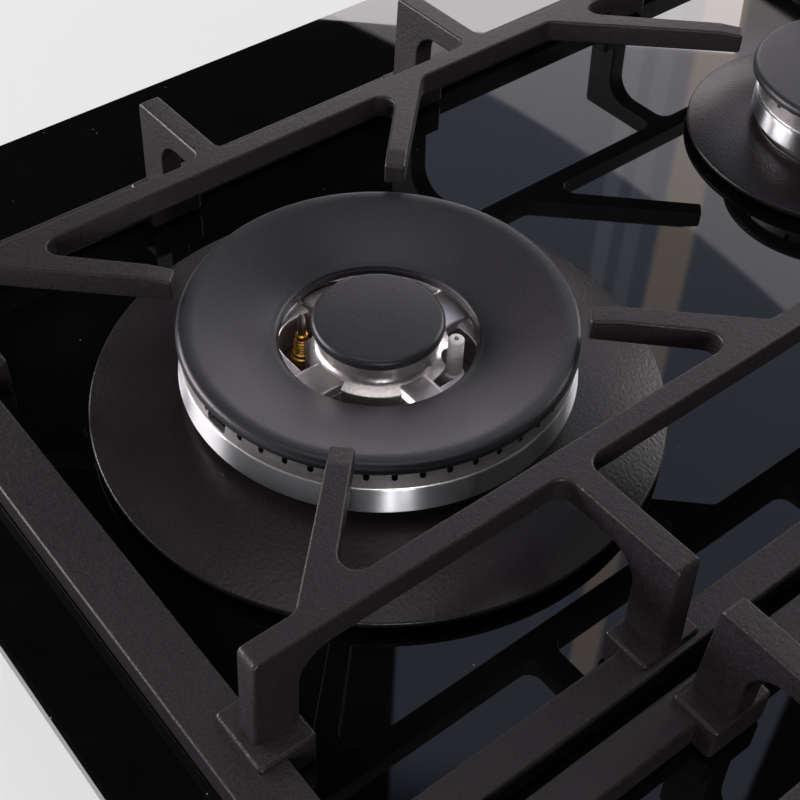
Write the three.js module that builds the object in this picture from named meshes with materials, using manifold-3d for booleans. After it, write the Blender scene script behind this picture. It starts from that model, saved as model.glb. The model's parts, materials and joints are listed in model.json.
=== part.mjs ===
// Gas cooktop with four burners on a black glass panel, built from separate named solids.
// Units are millimetres and +Z is up. The origin is the middle of the burner box's underside,
// +Y points away from the user and +X to the user's right.
import * as THREE from "three";
import { mergeVertices } from "three/addons/utils/BufferGeometryUtils.js";
import Module from "manifold-3d";

const wasm = await Module();
wasm.setup();

// ---- Driving dimensions: clearances ----
const SEAT_GAP = 0.3; // between a piece and what it rests on
const RUNNING_GAP = 0.3; // around a shaft in its bore
const CUT_MARGIN = 2; // how far a cutting solid reaches past what it cuts

// ---- Fineness of the round stretches ----
const FILLET_STEPS = 3;
const GRID_FILLET_STEPS = 2;
const HOLE_SIDES = 24;
const SMALL_SIDES = 12;
const PROBE_SIDES = 6;
const KNOB_SIDES = 20;

// ---- Burner box, gasket and glass ----
const BOX_INSET = 28; // from the edge of the glass to the walls of the box
const BOX_HEIGHT = 48;
const BOX_WALL = 1.5;
const BOX_FLANGE = 12;
const BOX_CORNER = 16;
const GASKET_THICKNESS = 1.4;
const GASKET_INSET = 2;
const SEAL_THICKNESS = 2;
const SEAL_WIDTH = 8;
const SEAL_INSET = 4; // from the edge of the glass to the worktop seal
const GLASS_THICKNESS = 8;
const GLASS_CORNER = 12;
const GLASS_EDGE_BEVEL = 1.2;

// ---- Places of the burners and controls ----
const BURNER_PITCH = 246; // front burner to rear burner
const SUPPORT_GAP = 6; // between the two pan supports
const SUPPORT_OFFSET_X = -0.7; // from the middle between two burners to their support's middle
const SUPPORT_OFFSET_Y = -2.6;
const LEFT_MARGIN = 71.3; // glass left of the left support
const RIGHT_MARGIN = 35; // glass right of the knobs
const FRONT_MARGIN = 24.2; // glass in front of the supports
const REAR_MARGIN = 15.4; // glass behind the supports
const CONTROL_GAP = 50.1; // between the right support and the knobs
const CONTROL_PITCH = 78;
const CONTROL_SHIFT_Y = -15; // the middle of the row of knobs

// ---- Pan supports, heights counted from the top of the glass ----
const SUPPORT_TOP = 49.2;
const BAR_WIDTH = 7.8;
const BAR_DEPTH = 9;
const BAR_OFFSET = 88.3; // from the burner's centre to the middle of a long bar
const BAR_END = 108.4; // from the burner's centre to the end of a long bar
const ARM_WIDTH = 8.4;
const ARM_REACH = 135; // from the burner's centre to the tip of a cross arm
const ARM_TIP_INSET = 3.9; // from the outer edge of a side rail to the tip
const FINGER_WIDTH = 8.4;
const FINGER_TIP_WIDTH = 7.2;
const FINGER_TIP_CLEARANCE = 0.9; // between a finger's tip and the outline of the burner cap
const SMALL_BURNER_TIP_CLEARANCE = 7.5;
const FINGER_SLOPE_LENGTH = 9;
const FINGER_SLOPE_DROP = 1.3;
const GRID_FILLET = 5;
const TIP_ROUND = 2;
const EDGE_CHAMFER = 0.9;
const FRAME_HEIGHT = 10.7;
const FRAME_FOOT_CLEARANCE = 1.3;
const SIDE_RAIL_WIDTH = 11.5;
const SIDE_RAIL_OUTER = ARM_REACH + ARM_TIP_INSET; // from the burner's centre
const END_RAIL_WIDTH = 18;
const END_RAIL_OUTER = 122.2; // from the burner's centre to the outer edge of the end rail
const FRAME_CORNER = 9;
const POST_DEPTH = 14;
const POST_DRAFT = 1.6; // how much further out the foot of a post stands than its top
const POST_FILLET = 11;
const BOSS_SIDE = 7;
const BOSS_RISE = 2;
const BOSS_INSET = 2;
const FOOT_RADIUS = 5;
const FOOT_INSET = 9;
const FOOT_GAP = 0.1;

// ---- Wok burner, heights counted from the top of the glass ----
const WOK_DECK_RADIUS = 58;
const WOK_SKIRT_GAP = 0.8; // between the deck of the wok burner's cup and its skirt
const WOK_GLASS_GAP = 2; // between that deck and the edge of its hole in the glass
const WOK = {
  name: "wok",
  segments: 48,
  skirtRadius: 97,
  skirtRim: 6,
  skirtCrown: 12.6,
  skirtInner: WOK_DECK_RADIUS + WOK_SKIRT_GAP,
  deckRadius: WOK_DECK_RADIUS,
  deckHeight: 12,
  glassHole: WOK_DECK_RADIUS + WOK_GLASS_GAP,
  bandRadius: 66,
  bandBottom: 18,
  bandTop: 28,
  portRadius: 64.6,
  ringTop: 33.7,
  ringInner: 35,
  ringWall: 4,
  capRadius: 65.5,
  capHole: 32.5,
  capThickness: 4.6,
  capShoulder: 57, // the cap's underside is flat outside this radius
  capDish: 7.7, // how much lower the cap's top lies at the hole
  capLip: 3, // rounding of the cap round the hole
  crownRadius: 18.6,
  crownTop: 33,
  crownFlangeRadius: 24,
  crownFlangeTop: 24.4,
  crownBore: 12,
  spigotRadius: 15,
  innerCapRadius: 21.8,
  innerCapThickness: 4.4,
};
const WOK_PORTS = 48;
const WOK_PORT_WIDTH = 2;
const WOK_PORT_DEPTH = 2.8;
const WOK_WINDOW_WIDTH = 9;
const WOK_WINDOW_ANGLE = -94;
const CROWN_PORTS = 16;
const CROWN_PORT_WIDTH = 1.8;
const CROWN_PORT_DEPTH = 2.6;
const BRIDGE_WIDTH = 15;
const BRIDGE_TOP = 25;
const BRIDGE_BOTTOM = 15;
const BRIDGE_SHOULDER = 3;
const WOK_CUP_RADIUS = 44;
const WOK_PROBE_RADIUS = 25.8; // electrode and thermocouple, from the burner's centre
const WOK_ELECTRODE_ANGLE = 40;
const WOK_THERMOCOUPLE_ANGLE = 219;

// ---- The three plain burners ----
const PLAIN_SKIRT_RIM = 5;
const PLAIN_SKIRT_CROWN = 8.5;
const PLAIN_DECK = 3;
const PLAIN_BAND_BOTTOM = 12;
const PLAIN_BAND_TOP = 21;
const PLAIN_HEAD_TOP = 29.7;
const PLAIN_CAP_THICKNESS = 4;
const PLAIN_PROBE_CLEARANCE = 4.2; // from the cap's outline to the middle of a probe
const PLAIN_PORT_WIDTH = 2;
const PLAIN_PORT_DEPTH = 4;
const HEAD_WALL = 6;
const RAPID = {
  name: "rapid",
  segments: 28,
  skirtRadius: 64,
  capRadius: 42.5,
  headRadius: 38,
  ports: 12,
};
const SEMI_RAPID = {
  name: "semi_rapid",
  segments: 24,
  skirtRadius: 53,
  capRadius: 32,
  headRadius: 28,
  ports: 10,
};
const AUXILIARY = {
  name: "auxiliary",
  segments: 20,
  skirtRadius: 43,
  capRadius: 23,
  headRadius: 19.5,
  ports: 8,
};

// ---- Shared burner parts ----
const SKIRT_THICKNESS = 2.6;
const SKIRT_FOOT_WIDTH = 4;
const CUP_FLOOR = 24; // height of a cup's underside above the box floor
const CUP_WALL = 4;
const COLUMN_RADIUS = 12;
const COLUMN_FOOT_RADIUS = 22;
const COLUMN_FOOT_HEIGHT = 4;
const ELECTRODE_RADIUS = 2.4;
const ELECTRODE_SLEEVE_RADIUS = 3.6;
const ELECTRODE_SLEEVE_HEIGHT = 3;
const ELECTRODE_TIP_RADIUS = 0.7;
const WOK_ELECTRODE_TOP = 33;
const PLAIN_ELECTRODE_TOP = 26;
const THERMOCOUPLE_TIP_RADIUS = 1.35;
const THERMOCOUPLE_NUT_RADIUS = 2.4;
const THERMOCOUPLE_HEX_RADIUS = 4;
const WOK_THERMOCOUPLE_TOP = 33.5;
const PLAIN_THERMOCOUPLE_TOP = 26.5;

// ---- Controls ----
const KNOB_RADIUS = 21;
const KNOB_TOP_RADIUS = 19.4;
const KNOB_BASE_HEIGHT = 9;
const KNOB_HEIGHT = 25;
const KNOB_GRIP_WIDTH = 13;
const KNOB_GRIP_BEVEL = 1.6;
const KNOB_LIFT = 4.2; // between the glass and the knob at rest
const KNOB_WALL = 3;
const KNOB_MARK_WIDTH = 1.8;
const KNOB_MARK_LENGTH = 7;
const KNOB_MARK_DEPTH = 0.8;
const STEM_RADIUS = 4;
const STEM_FLAT = 2.6; // from the stem's axis to its flat
const STEM_HOLE_RADIUS = 6.5;
const STEM_ENGAGEMENT = 16;
const STEM_INSERTION = 22; // how deep the stem reaches into the valve
const COLLAR_RADIUS = 8;
const COLLAR_THICKNESS = 2;
const COLLAR_POCKET = 7;
const VALVE_RADIUS = 12;
const VALVE_TOP = 42; // above the underside of the box
const VALVE_PORT_RADIUS = 5;
const VALVE_PORT_LENGTH = 7;
const VALVE_PORT_HEIGHT = 30;

// ---- Gas rail, inlet and feed tubes ----
const RAIL_WIDTH = 16;
const RAIL_HEIGHT = 14;
const RAIL_CORNER = 3;
const RAIL_OVERHANG = 20; // past the front valve
const INLET_RADIUS = 9;
const INLET_BORE = 5;
const INLET_REACH = 17; // past the rear wall of the box
const INLET_HEX_RADIUS = 12;
const INLET_HEX_LENGTH = 8;
const TUBE_RADIUS = 3.5;
const TUBE_SIDES = 6;
const TUBE_LEAD = 34; // straight stretch at the valve
const TUBE_BEND_RUN = 46; // length along X in which a tube moves across
const TUBE_BEND_STEPS = 5;

// ---- Levels and places worked out from the sizes above ----
const GLASS_UNDERSIDE = BOX_HEIGHT + SEAT_GAP + GASKET_THICKNESS + SEAT_GAP;
const GLASS_TOP = GLASS_UNDERSIDE + GLASS_THICKNESS;
const SUPPORTS_WIDTH = 4 * SIDE_RAIL_OUTER + SUPPORT_GAP;
const CONTROLS_WIDTH = CONTROL_GAP + 2 * KNOB_RADIUS + RIGHT_MARGIN;
const GLASS_WIDTH = LEFT_MARGIN + SUPPORTS_WIDTH + CONTROLS_WIDTH;
const SUPPORT_LENGTH = BURNER_PITCH + 2 * END_RAIL_OUTER;
const GLASS_LENGTH = FRONT_MARGIN + SUPPORT_LENGTH + REAR_MARGIN;
const BOX_WIDTH = GLASS_WIDTH - 2 * BOX_INSET;
const BOX_LENGTH = GLASS_LENGTH - 2 * BOX_INSET;
const SUPPORT_LEFT_X = -GLASS_WIDTH / 2 + LEFT_MARGIN + SIDE_RAIL_OUTER;
const SUPPORT_RIGHT_X = SUPPORT_LEFT_X + 2 * SIDE_RAIL_OUTER + SUPPORT_GAP;
const SUPPORT_Y = (FRONT_MARGIN - REAR_MARGIN) / 2;
const LEFT_X = SUPPORT_LEFT_X - SUPPORT_OFFSET_X;
const RIGHT_X = SUPPORT_RIGHT_X - SUPPORT_OFFSET_X;
const FRONT_Y = SUPPORT_Y - SUPPORT_OFFSET_Y - BURNER_PITCH / 2;
const REAR_Y = SUPPORT_Y - SUPPORT_OFFSET_Y + BURNER_PITCH / 2;
const CONTROL_X = GLASS_WIDTH / 2 - RIGHT_MARGIN - KNOB_RADIUS;
const BOX_FLOOR = BOX_WALL + SEAT_GAP;

// ---- Materials ----
const material = (color, roughness, metalness = 0) =>
  new THREE.MeshStandardMaterial({ color, roughness, metalness });
const GLASS_MATERIAL = material(0x08080a, 0.06);
const IRON_MATERIAL = material(0x3a373b, 0.62);
const ENAMEL_MATERIAL = material(0x38383d, 0.5);
const SKIRT_MATERIAL = material(0x262326, 0.38);
const ALUMINIUM_MATERIAL = material(0xb9b6b4, 0.35, 0.9);
const BRASS_MATERIAL = material(0xb8862f, 0.3, 0.9);
const STEEL_MATERIAL = material(0xa9abad, 0.4, 0.9);
const CERAMIC_MATERIAL = material(0xe9e5df, 0.35);
const RUBBER_MATERIAL = material(0x1a1a1b, 0.8);
const KNOB_MATERIAL = material(0x1c1c1e, 0.4);

// ---- Geometry helpers ----
/** Turn a closed three.js geometry into a solid that can be joined and cut. */
function solidOf(geometry) {
  const bare = geometry.clone();
  bare.deleteAttribute("normal");
  bare.deleteAttribute("uv");
  const merged = mergeVertices(bare, 1e-4);
  const vertProperties = Float32Array.from(merged.attributes.position.array);
  const triVerts = Uint32Array.from(merged.index.array);
  let volume = 0;
  const corner = (i) => new THREE.Vector3().fromArray(vertProperties, 3 * triVerts[i]);
  for (let i = 0; i < triVerts.length; i += 3) {
    volume += corner(i).dot(corner(i + 1).cross(corner(i + 2)));
  }
  if (volume < 0) {
    for (let i = 0; i < triVerts.length; i += 3) {
      [triVerts[i + 1], triVerts[i + 2]] = [triVerts[i + 2], triVerts[i + 1]];
    }
  }
  return new wasm.Manifold(new wasm.Mesh({ numProp: 3, vertProperties, triVerts }));
}

/** Turn a solid back into a three.js geometry. */
function geometryOf(solid) {
  const mesh = solid.getMesh();
  const geometry = new THREE.BufferGeometry();
  geometry.setAttribute("position", new THREE.BufferAttribute(mesh.vertProperties, 3));
  geometry.setIndex(new THREE.BufferAttribute(mesh.triVerts, 1));
  geometry.computeVertexNormals();
  return geometry;
}

/** Join a list of solids. */
const joined = (solids) => solids.reduce((sum, next) => sum.add(next));

/** Revolve a closed [radius, height] outline around Z. */
function revolved(outline, segments) {
  const points = outline.map(([radius, height]) => new THREE.Vector2(radius, height));
  const [first, last] = [outline[0], outline[outline.length - 1]];
  if (first[0] > 0 || last[0] > 0) {
    points.push(points[0].clone());
  }
  return solidOf(new THREE.LatheGeometry(points, segments).rotateX(Math.PI / 2));
}

/** Upright cylinder from one height to another. */
function post(radius, bottom, top, segments = 16, x = 0, y = 0) {
  const geometry = new THREE.CylinderGeometry(radius, radius, top - bottom, segments).rotateX(Math.PI / 2);
  return solidOf(geometry.translate(x, y, (top + bottom) / 2));
}

/** Box between two corners. */
function block(x0, x1, y0, y1, z0, z1) {
  const geometry = new THREE.BoxGeometry(x1 - x0, y1 - y0, z1 - z0);
  return solidOf(geometry.translate((x0 + x1) / 2, (y0 + y1) / 2, (z0 + z1) / 2));
}

/** Shape of a rectangle with round corners, about the origin. */
function roundedRectangle(width, length, radius) {
  const [w, l] = [width / 2, length / 2];
  return filletedShape([
    [-w, -l, radius],
    [w, -l, radius],
    [w, l, radius],
    [-w, l, radius],
  ]);
}

/** Closed shape through [x, y, fillet, steps] corners, anticlockwise, each rounded by its fillet. */
function filletedShape(corners, stepsPerFillet = FILLET_STEPS) {
  const points = [];
  const count = corners.length;
  for (let i = 0; i < count; i += 1) {
    const here = new THREE.Vector2(corners[i][0], corners[i][1]);
    const before = new THREE.Vector2(...corners[(i + count - 1) % count].slice(0, 2));
    const after = new THREE.Vector2(...corners[(i + 1) % count].slice(0, 2));
    const fillet = corners[i][2] ?? 0;
    const steps = corners[i][3] ?? stepsPerFillet;
    if (fillet === 0) {
      points.push(here);
      continue;
    }
    const back = before.clone().sub(here).normalize();
    const ahead = after.clone().sub(here).normalize();
    const half = Math.acos(THREE.MathUtils.clamp(back.dot(ahead), -1, 1)) / 2;
    const run = fillet / Math.tan(half);
    const centre = back.clone().add(ahead).normalize().multiplyScalar(fillet / Math.sin(half)).add(here);
    const start = here.clone().addScaledVector(back, run).sub(centre);
    const end = here.clone().addScaledVector(ahead, run).sub(centre);
    const turn = Math.atan2(start.cross(end), start.dot(end));
    for (let step = 0; step <= steps; step += 1) {
      const spot = start.clone().rotateAround(new THREE.Vector2(), (turn * step) / steps);
      points.push(spot.add(centre));
    }
  }
  return new THREE.Shape(points);
}

/** Extrude a shape upwards, its top edges chamfered inside the outline. */
function extruded(shape, bottom, top, chamfer = 0) {
  if (chamfer === 0) {
    const plain = new THREE.ExtrudeGeometry(shape, { depth: top - bottom, bevelEnabled: false });
    return solidOf(plain.translate(0, 0, bottom));
  }
  // The lower chamfer lies below the wanted underside and is cut away with the slab under it.
  const geometry = new THREE.ExtrudeGeometry(shape, {
    depth: top - bottom,
    bevelEnabled: true,
    bevelThickness: chamfer,
    bevelSize: chamfer,
    bevelOffset: -chamfer,
    bevelSegments: 1,
  });
  const whole = solidOf(geometry.translate(0, 0, bottom - chamfer));
  return whole.trimByPlane([0, 0, 1], bottom);
}

/** Place a solid, turned around Z by degrees and then moved. */
const placed = (solid, x, y, z = 0, degrees = 0) => solid.rotate([0, 0, degrees]).translate([x, y, z]);

/** The same cutter at equal angles around Z. */
function aroundZ(cutter, count, startDegrees = 0) {
  const copies = [];
  for (let i = 0; i < count; i += 1) {
    copies.push(cutter.rotate([0, 0, startDegrees + (360 * i) / count]));
  }
  return joined(copies);
}

/** Named mesh of a solid. */
function piece(name, solid, surface, group, x = 0, y = 0, z = 0) {
  const mesh = new THREE.Mesh(geometryOf(solid), surface);
  mesh.name = name;
  mesh.position.set(x, y, z);
  group.add(mesh);
  return mesh;
}

// ---- Burner box, gasket and glass panel ----
function burnerBox() {
  const shell = extruded(roundedRectangle(BOX_WIDTH, BOX_LENGTH, BOX_CORNER), 0, BOX_HEIGHT);
  const flange = extruded(
    roundedRectangle(BOX_WIDTH + 2 * BOX_FLANGE, BOX_LENGTH + 2 * BOX_FLANGE, BOX_CORNER + BOX_FLANGE),
    BOX_HEIGHT - BOX_WALL,
    BOX_HEIGHT,
  );
  const hollow = extruded(
    roundedRectangle(BOX_WIDTH - 2 * BOX_WALL, BOX_LENGTH - 2 * BOX_WALL, BOX_CORNER - BOX_WALL),
    BOX_WALL,
    BOX_HEIGHT + CUT_MARGIN,
  );
  const inletAxis = BOX_FLOOR + RAIL_HEIGHT / 2;
  const inletHole = new THREE.CylinderGeometry(
    INLET_RADIUS + RUNNING_GAP,
    INLET_RADIUS + RUNNING_GAP,
    4 * BOX_WALL,
    24,
  ).translate(CONTROL_X, BOX_LENGTH / 2 - BOX_WALL / 2, inletAxis + INLET_RADIUS - RAIL_HEIGHT / 2);
  return shell.add(flange).subtract(hollow).subtract(solidOf(inletHole));
}

function gasket() {
  const bottom = BOX_HEIGHT + SEAT_GAP;
  const reach = BOX_FLANGE - GASKET_INSET;
  const outer = roundedRectangle(BOX_WIDTH + 2 * reach, BOX_LENGTH + 2 * reach, BOX_CORNER + reach);
  outer.holes.push(roundedRectangle(BOX_WIDTH, BOX_LENGTH, BOX_CORNER));
  return extruded(outer, bottom, bottom + GASKET_THICKNESS);
}

/** Seal between the glass and the worktop, round the edge of the glass. */
function worktopSeal() {
  const top = GLASS_UNDERSIDE - SEAT_GAP;
  const ring = (inset) =>
    roundedRectangle(GLASS_WIDTH - 2 * inset, GLASS_LENGTH - 2 * inset, GLASS_CORNER - SEAL_INSET);
  const outer = ring(SEAL_INSET);
  outer.holes.push(ring(SEAL_INSET + SEAL_WIDTH));
  return extruded(outer, top - SEAL_THICKNESS, top);
}

function glassPanel(burners, controls) {
  let panel = extruded(
    roundedRectangle(GLASS_WIDTH, GLASS_LENGTH, GLASS_CORNER),
    GLASS_UNDERSIDE,
    GLASS_TOP,
    GLASS_EDGE_BEVEL,
  );
  for (const burner of burners) {
    const hole = post(burner.glassHole, GLASS_UNDERSIDE - CUT_MARGIN, GLASS_TOP + CUT_MARGIN, HOLE_SIDES);
    panel = panel.subtract(hole.translate([burner.x, burner.y, 0]));
  }
  for (const control of controls) {
    const hole = post(STEM_HOLE_RADIUS, GLASS_UNDERSIDE - CUT_MARGIN, GLASS_TOP + CUT_MARGIN, SMALL_SIDES);
    panel = panel.subtract(hole.translate([CONTROL_X, control.y, 0]));
  }
  return panel;
}

// ---- Pan supports ----
/** How far from the support's crossing point a finger ends, on its side along X and along Y. */
function fingerReach(tip, sideX, sideY) {
  return tip - Math.SQRT1_2 * (sideX * SUPPORT_OFFSET_X + sideY * SUPPORT_OFFSET_Y);
}

/** Outline of one long bar with its fingers inwards and its cross arms outwards, bar towards +X. */
function combShape(frontTip, rearTip, sideX) {
  const half = BURNER_PITCH / 2;
  const inner = BAR_OFFSET - BAR_WIDTH / 2;
  const outer = BAR_OFFSET + BAR_WIDTH / 2;
  const end = half + BAR_END;
  const arm = ARM_WIDTH / 2;
  const corners = [[outer, -end, TIP_ROUND, 1]];
  for (const y of [-half, 0, half]) {
    corners.push([outer, y - arm, GRID_FILLET]);
    corners.push([ARM_REACH, y - arm, TIP_ROUND, 1]);
    corners.push([ARM_REACH, y + arm, TIP_ROUND, 1]);
    corners.push([outer, y + arm, GRID_FILLET]);
  }
  corners.push([outer, end, TIP_ROUND, 1]);
  corners.push([inner, end, TIP_ROUND, 1]);
  // A finger leaves the bar at 45 degrees and ends short of its burner's cap.
  const finger = (centreY, side, tip) => {
    const s = Math.SQRT1_2;
    const h = FINGER_WIDTH / 2;
    const reach = fingerReach(tip, sideX, side);
    const near = (along, across) => [
      along * s + across * s,
      centreY + side * (along * s - across * s),
    ];
    const rootLow = [inner, centreY + side * (inner - 2 * h * s), GRID_FILLET];
    const rootHigh = [inner, centreY + side * (inner + 2 * h * s), GRID_FILLET];
    const tipLow = [...near(reach, FINGER_TIP_WIDTH / 2), TIP_ROUND, 1];
    const tipHigh = [...near(reach, -FINGER_TIP_WIDTH / 2), TIP_ROUND, 1];
    return { rootLow, rootHigh, tipLow, tipHigh };
  };
  for (const [centreY, tip] of [[half, rearTip], [-half, frontTip]]) {
    const far = finger(centreY, 1, tip);
    const close = finger(centreY, -1, tip);
    corners.push(far.rootHigh, far.tipHigh, far.tipLow, far.rootLow);
    corners.push(close.rootLow, close.tipLow, close.tipHigh, close.rootHigh);
  }
  corners.push([inner, -end, TIP_ROUND, 1]);
  return filletedShape(corners, GRID_FILLET_STEPS);
}

/** Side view of a post under the end of an arm that points to +X, extruded across the arm. */
function supportPost(tip, width, railTop) {
  const top = SUPPORT_TOP - EDGE_CHAMFER;
  const under = SUPPORT_TOP - BAR_DEPTH;
  const profile = filletedShape([
    [tip - POST_DEPTH - POST_FILLET, under + 1, 0],
    [tip - POST_DEPTH - POST_FILLET, under, 0],
    [tip - POST_DEPTH, under, POST_FILLET],
    [tip - POST_DEPTH + POST_DRAFT / 2, railTop - 3, 0],
    [tip + POST_DRAFT, railTop - 3, 0],
    [tip, top - 1, 1],
    [tip - TIP_ROUND, top - 1, 0],
  ]);
  const body = new THREE.ExtrudeGeometry(profile, { depth: width, bevelEnabled: false });
  return solidOf(body.rotateX(Math.PI / 2).translate(0, width / 2, 0));
}

function panSupport(frontTip, rearTip) {
  const half = BURNER_PITCH / 2;
  const frameBottom = FRAME_FOOT_CLEARANCE;
  const frameTop = frameBottom + FRAME_HEIGHT;
  const frameWidth = 2 * SIDE_RAIL_OUTER;
  const opening = extruded(
    roundedRectangle(
      frameWidth - 2 * SIDE_RAIL_WIDTH,
      SUPPORT_LENGTH - 2 * END_RAIL_WIDTH,
      FRAME_CORNER / 2,
    ),
    frameBottom - CUT_MARGIN,
    frameTop + CUT_MARGIN,
  );
  const frame = extruded(
    roundedRectangle(frameWidth, SUPPORT_LENGTH, FRAME_CORNER),
    frameBottom,
    frameTop,
    EDGE_CHAMFER,
  ).subtract(opening);
  const comb = (sideX) =>
    extruded(combShape(frontTip, rearTip, sideX), SUPPORT_TOP - BAR_DEPTH, SUPPORT_TOP, EDGE_CHAMFER);
  const parts = [frame, comb(1), comb(-1).mirror([1, 0, 0])];
  const armPost = supportPost(ARM_REACH, ARM_WIDTH - 2 * EDGE_CHAMFER, frameTop);
  const bossTop = frameTop + BOSS_RISE;
  const bossHalf = ARM_WIDTH / 2 + BOSS_SIDE;
  const boss = block(
    ARM_REACH - POST_DEPTH,
    SIDE_RAIL_OUTER - BOSS_INSET,
    -bossHalf,
    bossHalf,
    frameBottom,
    bossTop,
  );
  for (const y of [-half, 0, half]) {
    for (const turn of [0, 180]) {
      parts.push(placed(armPost, 0, y, 0, turn));
      parts.push(placed(boss, 0, y, 0, turn));
    }
  }
  const endPost = supportPost(BAR_END, BAR_WIDTH - 2 * EDGE_CHAMFER, frameTop);
  const endBoss = block(
    BAR_END - POST_DEPTH,
    END_RAIL_OUTER - END_RAIL_WIDTH / 2,
    -BAR_WIDTH / 2 - BOSS_SIDE,
    BAR_WIDTH / 2 + BOSS_SIDE,
    frameBottom,
    bossTop,
  );
  for (const side of [-1, 1]) {
    for (const row of [-1, 1]) {
      parts.push(placed(endPost, side * BAR_OFFSET, row * half, 0, row * 90));
      parts.push(placed(endBoss, side * BAR_OFFSET, row * half, 0, row * 90));
    }
  }
  let support = joined(parts);
  // The top of each finger falls away towards its tip.
  const drop = THREE.MathUtils.radToDeg(Math.atan2(FINGER_SLOPE_DROP, FINGER_SLOPE_LENGTH));
  const wedge = block(-FINGER_SLOPE_LENGTH - 6, 0, -FINGER_WIDTH, FINGER_WIDTH, 0, BAR_DEPTH)
    .rotate([0, -drop, 0])
    .translate([FINGER_SLOPE_LENGTH, 0, SUPPORT_TOP]);
  for (const [y, tip] of [[-half, frontTip], [half, rearTip]]) {
    for (const [angle, sideX, sideY] of [[45, 1, 1], [135, -1, 1], [225, -1, -1], [315, 1, -1]]) {
      const cut = wedge.translate([fingerReach(tip, sideX, sideY), 0, 0]);
      support = support.subtract(placed(cut, 0, y, 0, angle));
    }
  }
  return support;
}

function supportFoot() {
  return post(FOOT_RADIUS, FOOT_GAP, FRAME_FOOT_CLEARANCE - FOOT_GAP, SMALL_SIDES);
}

// ---- Burner parts ----
/** Enamelled plate around a burner, standing on the glass on a foot ring. */
function skirt(burner) {
  const { skirtRadius: outer, skirtRim: rim, skirtCrown: crown, skirtInner: inner } = burner;
  const slope = (crown - rim) / (outer - inner);
  const topAt = (radius) => crown - slope * (radius - inner);
  const footIn = burner.glassHole + 1.5;
  const footOut = footIn + SKIRT_FOOT_WIDTH;
  const lip = SKIRT_THICKNESS / 2;
  return revolved([
    [inner, crown - SKIRT_THICKNESS],
    [footIn, topAt(footIn) - SKIRT_THICKNESS],
    [footIn, SEAT_GAP],
    [footOut, SEAT_GAP],
    [outer - lip, rim - SKIRT_THICKNESS],
    [outer, rim - lip],
    [outer - lip / 2, rim - lip / 4],
    [inner, crown],
  ], burner.segments);
}

/** Outside of a cap's rounded rim, from its underside to its top. */
function capRim(radius, bottom, thickness) {
  const round = thickness * 0.6;
  const top = bottom + thickness;
  return [
    [radius - round * 0.5, bottom],
    [radius, bottom + thickness - round * 1.25],
    [radius - round * 0.3, top - round * 0.3],
    [radius - round, top],
  ];
}

/** Round cap with a flat top. */
function cap(radius, bottom, thickness, segments) {
  return revolved([[0, bottom], ...capRim(radius, bottom, thickness), [0, bottom + thickness]], segments);
}

/** Height of the ring cap's top at its hole, before the rounding. */
const ringCapLow = () => WOK.ringTop + SEAT_GAP + WOK.capThickness - WOK.capDish;

/** Ring cap of the wok burner: its top falls towards the hole like a shallow dish. */
function ringCap() {
  const w = WOK;
  const bottom = w.ringTop + SEAT_GAP;
  const low = ringCapLow();
  return revolved([
    [w.capShoulder, bottom],
    ...capRim(w.capRadius, bottom, w.capThickness),
    [w.capHole + w.capLip, low],
    [w.capHole + w.capLip * 0.3, low - w.capLip * 0.4],
    [w.capHole, low - w.capLip],
    [w.capHole + w.capLip * 0.3, low - w.capThickness],
    [w.capHole + w.capLip * 0.7, low - w.capThickness],
  ], w.segments);
}

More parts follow.
